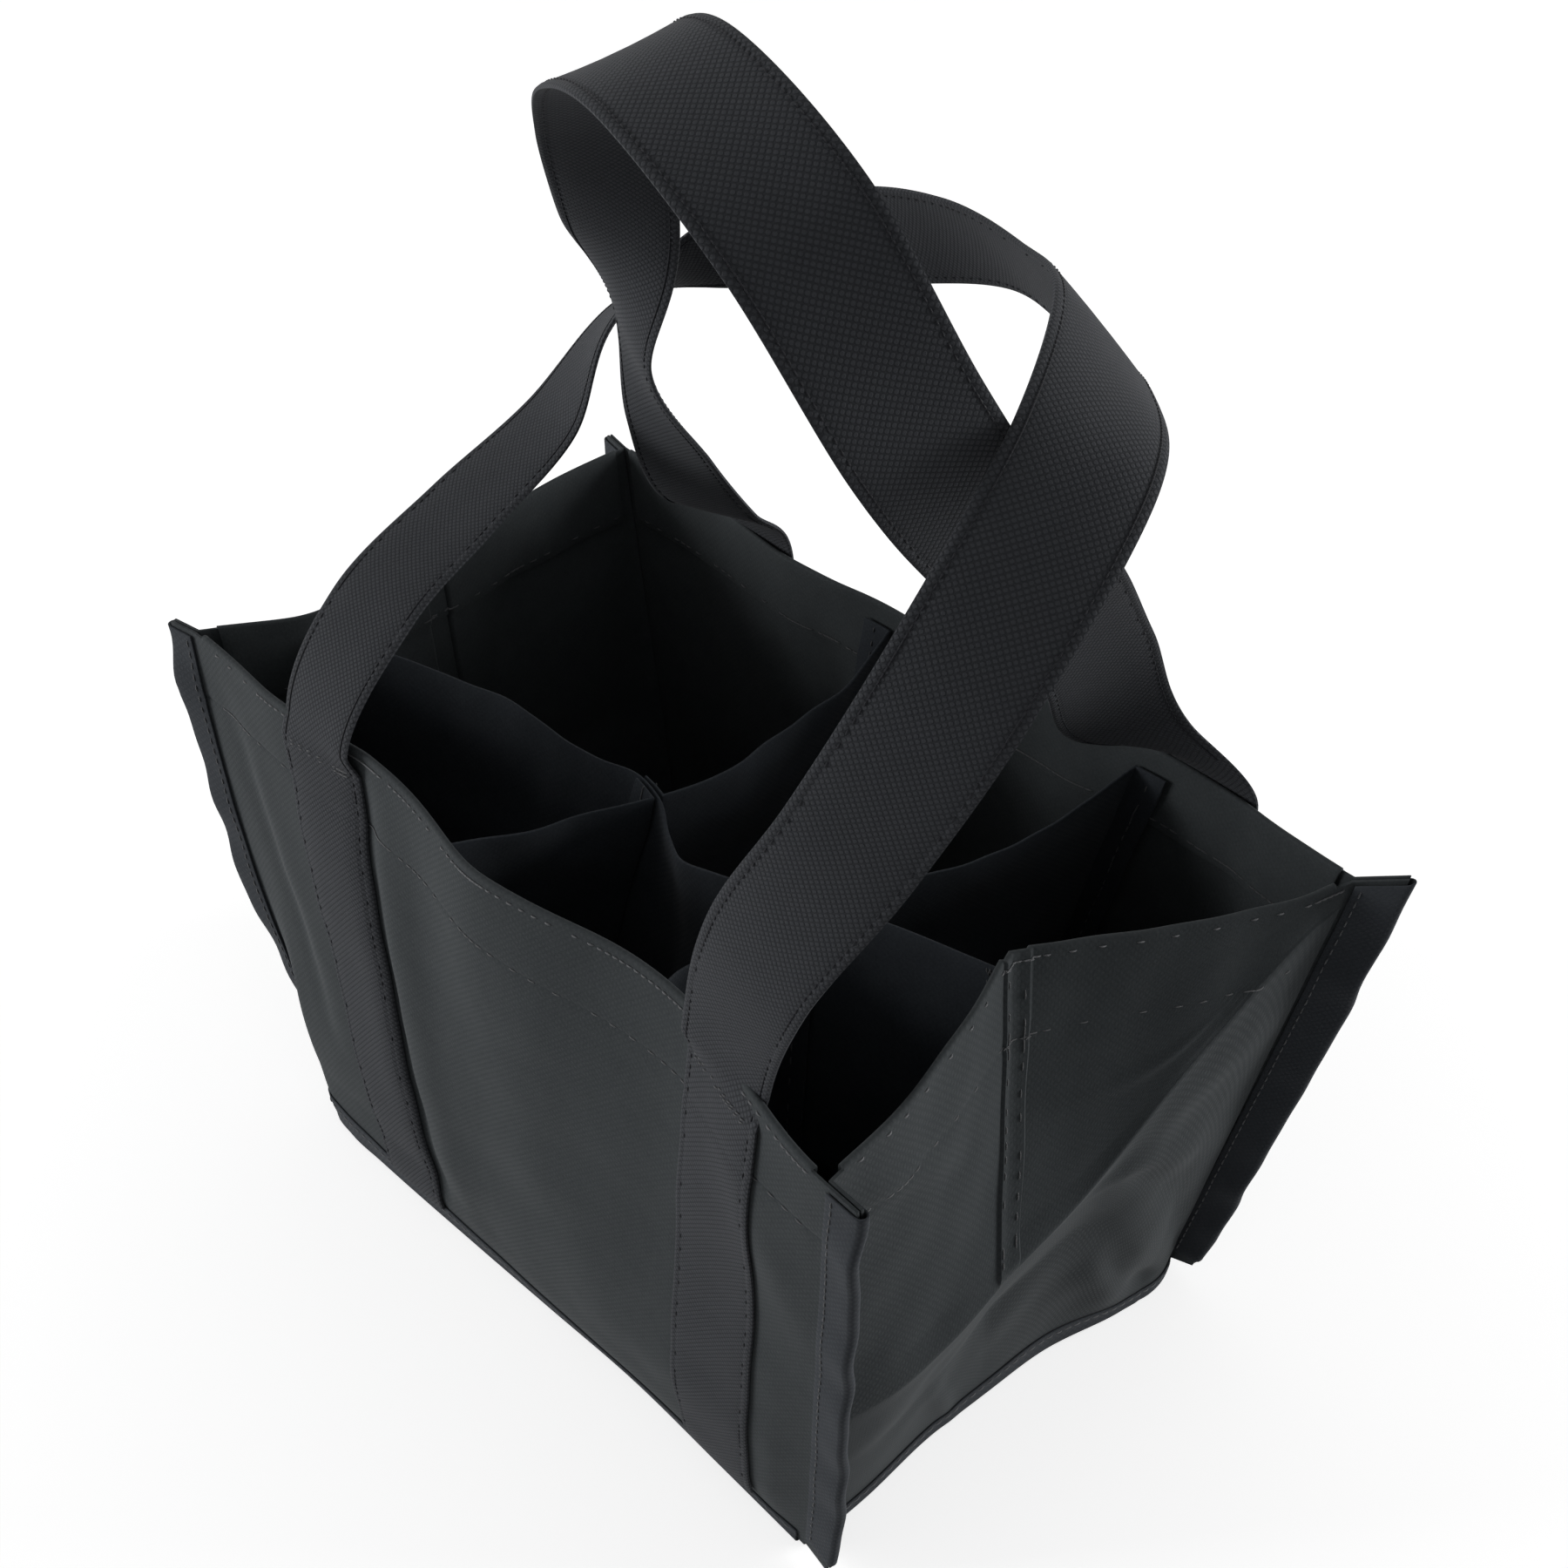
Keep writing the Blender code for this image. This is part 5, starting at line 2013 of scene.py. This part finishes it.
    def build(self) -> None:
        """Build the strap, its stitching and its tacks."""
        columns = np.concatenate([-STRAP_COLUMNS[::-1], STRAP_COLUMNS])
        piece = add_object(self.name + "_strap", self.mesh(columns), self.shop.finishes.webbing)
        choose(piece)
        bpy.ops.object.mode_set(mode="EDIT")
        bpy.ops.mesh.select_all(action="SELECT")
        bpy.ops.mesh.normals_make_consistent(inside=False)
        bpy.ops.object.mode_set(mode="OBJECT")
        smooth_sides(piece)
        leg = "strap_leg_" + self.name
        self.shop.fit(piece, Body.BAG, Slot.WEBBING,
                      (leg + "_left", leg + "_right", self.name + "_handle"), self.body)
        self.sew_edges()
        self.sew_tacks()

    def mesh(self, columns: Array) -> Mesh:
        """Build the strap's closed mesh with its cloth UV map.

        Args:
            columns: Shares of the half width, from one edge to the other.

        Returns:
            The new mesh.
        """
        edge_start, edge_share = 0.05, 0.45
        rounded = between(edge_share, 1, clamp((1 - np.abs(columns)) / edge_start))
        lift = (STRAP_THICK / 2 * rounded - self.groove(columns))[None, :, None]
        mids = np.stack([self.on_wall(share) for share in columns.tolist()], 1)
        facing = self.facing()[:, None]
        ring = np.concatenate([mids + facing * lift, (mids - facing * lift)[:, ::-1]], 1)
        rows, count = ring.shape[:2]
        index, faces = ring_faces(rows, count)
        across = np.concatenate([columns, columns[::-1], columns[:1]]) * STRAP_WIDTH / 2
        flat = np.stack(np.meshgrid(across, run_length(self.middles)), -1)
        caps = []
        for part, turn in ((index[0], -1), (index[-1], 1)):
            quads = [(part[k], part[k + 1], part[count - 2 - k], part[count - 1 - k])
                     for k in range(count // 2 - 1)]
            caps += [quad[::turn] for quad in quads]
        uv = np.concatenate([np.stack(corners(flat), -2).reshape(-1, 2),
                             np.zeros((len(caps) * 4, 2))])
        return make_mesh(self.name + "_strap", ring.reshape(-1, 3), faces.tolist() + caps, uv)

    def sew_edges(self) -> None:
        """Sew both edges of the strap all the way, on each face that shows."""
        runs = []
        facing, free = self.facing(), self.free()
        outside = facing @ self.wall.outward(0.5)
        face = STRAP_THICK / 2 - float(self.groove(self.sewn_share))
        for share in (-self.sewn_share, self.sewn_share):
            line = self.on_wall(share)
            for side in (1, -1):
                seen = (free > 0.5) | (outside * side > 0)
                out = facing[seen] * side
                runs.append(Seam(line[seen] + out * face, out, pitch=2.15 * MM, share=0.70,
                                 radius=0.22 * MM, sunk=0.08 * MM))
        self.shop.stitches(self.name + "_strap_stitches", runs, bend=self.body,
                           material=self.shop.finishes.strap_thread)

    def sew_tacks(self) -> None:
        """Sew the tack at each end of the handle, just below the rim."""
        width_share, drops, pitch, slant = 0.8, (6.0 * MM, 7.1 * MM), 2.0 * MM, 0.25
        half = STRAP_WIDTH / 2 / self.wall.width() * width_share
        for leg, end in zip(self.legs, ("left", "right")):
            across = np.linspace(leg[2] - half, leg[2] + half, 30)
            runs = []
            for drop in drops:
                line, normals = self.wall.line(across, 1 - drop / HEIGHT,
                                               SHEET / 2 + STRAP_THICK + CLOTH_GAP)
                runs.append(Seam(line, normals, pitch=pitch, slant=slant))
            name = self.name + "_" + end
            self.shop.stitches("strap_tack_thread_" + name, runs, nodes=("strap_tack_" + name,))


# ---- Stage


@dataclass
class Studio:
    """Pale floor, soft light and the camera at the photograph's angle."""

    focal: float = 46.0
    sensor: float = 36.0
    yaw: float = math.radians(47.5)
    pitch: float = math.radians(39.4)
    roll: float = math.radians(1.0)
    place: Triple = (0.290, -0.248, 0.455)
    lamps: tuple[tuple[str, Triple, float], ...] = (
        ("front_left", (-1.15, -1.25, 0.45), 19.5), ("back_right", (1.0, 1.35, 0.40), 19.0))
    lamp_size: float = 0.9
    lamp_aim: Triple = (0.0, 0.0, 0.12)
    floor_size: float = 6.0
    floor_colour: Triple = (0.86, 0.86, 0.86)
    floor_bounce: Triple = (0.36, 0.36, 0.37)
    floor_glow: float = 0.64
    world_light: float = 0.24

    def build(self) -> None:
        """Build floor, lamps, world and camera."""
        self.build_floor()
        self.build_lights()
        self.build_world()
        self.build_camera()

    def build_floor(self) -> None:
        """Lay a wide pale floor under the bag, white to the camera but dull as a light."""
        bpy.ops.object.select_all(action="DESELECT")
        bpy.ops.mesh.primitive_plane_add(size=self.floor_size, location=(0, 0, -0.4 * MM))
        floor = bpy.context.active_object
        floor.name = "floor"
        material, nodes, shader = Finish("floor_white").start()
        nodes.fill(shader, {"Base Color": tint(self.floor_colour), "Roughness": 0.9,
                            "Specular IOR Level": 0.1})
        glow = nodes.add("ShaderNodeEmission", {"Color": tint((1, 1, 1)),
                                                "Strength": self.floor_glow})
        bright = nodes.add("ShaderNodeAddShader", {0: shader.outputs[0], 1: glow.outputs[0]})
        dull = nodes.add("ShaderNodeBsdfDiffuse", {"Color": tint(self.floor_bounce)})
        surface = nodes.by_view(dull.outputs[0], bright.outputs[0])
        nodes.fill(material.node_tree.nodes["Material Output"], {"Surface": surface})
        floor.data.materials.append(material)

    def build_lights(self) -> None:
        """Hang the soft key and fill lamps."""
        for name, place, power in self.lamps:
            lamp = bpy.data.lights.new(name, "AREA")
            lamp.size = self.lamp_size
            lamp.energy = power
            thing = bpy.data.objects.new(name, lamp)
            thing.location = place
            aim = Vector(self.lamp_aim) - Vector(place)
            thing.rotation_euler = aim.to_track_quat("-Z", "Y").to_euler()
            bpy.context.scene.collection.objects.link(thing)

    def build_world(self) -> None:
        """Light the scene evenly, with a white background in view."""
        world = bpy.data.worlds.new("studio")
        world.use_nodes = True
        bpy.context.scene.world = world
        nodes = Nodes(world.node_tree)
        white = tint((1, 1, 1))
        light = world.node_tree.nodes["Background"]
        nodes.fill(light, {"Color": white, "Strength": self.world_light})
        seen = nodes.add("ShaderNodeBackground", {"Color": white, "Strength": 1.0})
        surface = nodes.by_view(light.outputs[0], seen.outputs[0])
        nodes.fill(world.node_tree.nodes["World Output"], {"Surface": surface})

    def build_camera(self) -> None:
        """Set the camera at the photograph's angle."""
        back = Vector((math.sin(self.yaw) * math.cos(self.pitch),
                       -math.cos(self.yaw) * math.cos(self.pitch), math.sin(self.pitch)))
        right = (-back).cross(Vector((0, 0, 1))).normalized()
        up = right.cross(-back)
        turned = right * math.cos(self.roll) + up * math.sin(self.roll)
        upright = up * math.cos(self.roll) - right * math.sin(self.roll)
        lens = bpy.data.cameras.new("camera")
        lens.lens = self.focal
        lens.sensor_width = self.sensor
        lens.sensor_fit = "HORIZONTAL"
        lens.clip_start = 0.01
        camera = bpy.data.objects.new("camera", lens)
        turn = Matrix((turned, upright, back)).transposed().to_4x4()
        camera.matrix_world = Matrix.Translation(self.place) @ turn
        bpy.context.scene.collection.objects.link(camera)
        bpy.context.scene.camera = camera


def main() -> None:
    """Build the dressed tote and its stage."""
    logging.basicConfig(level=logging.INFO, format="%(message)s")
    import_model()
    bpy.context.scene.view_settings.view_transform = "Standard"
    Studio().build()
    shop = Workshop(Finishes(Effects()))
    shell = Shell(shop)
    shell.build()
    Dividers(shop, shell).build()
    Strap(shop, "front", shell.walls["front"], ((0.267, 0.252, 0.2375), (0.862, 0.858, 0.852)),
          math.radians(1.3), FRONT_STATION_SHARES, Body.FRONT_HANDLE).build()
    Strap(shop, "back", shell.walls["back"], ((0.76, 0.76, 0.76), (0.167, 0.167, 0.167)),
          math.radians(-1.5), BACK_STATION_SHARES, Body.BACK_HANDLE).build()
    LOG.info("%d pieces", len(shop.made))


if __name__ == "__main__":
    main()
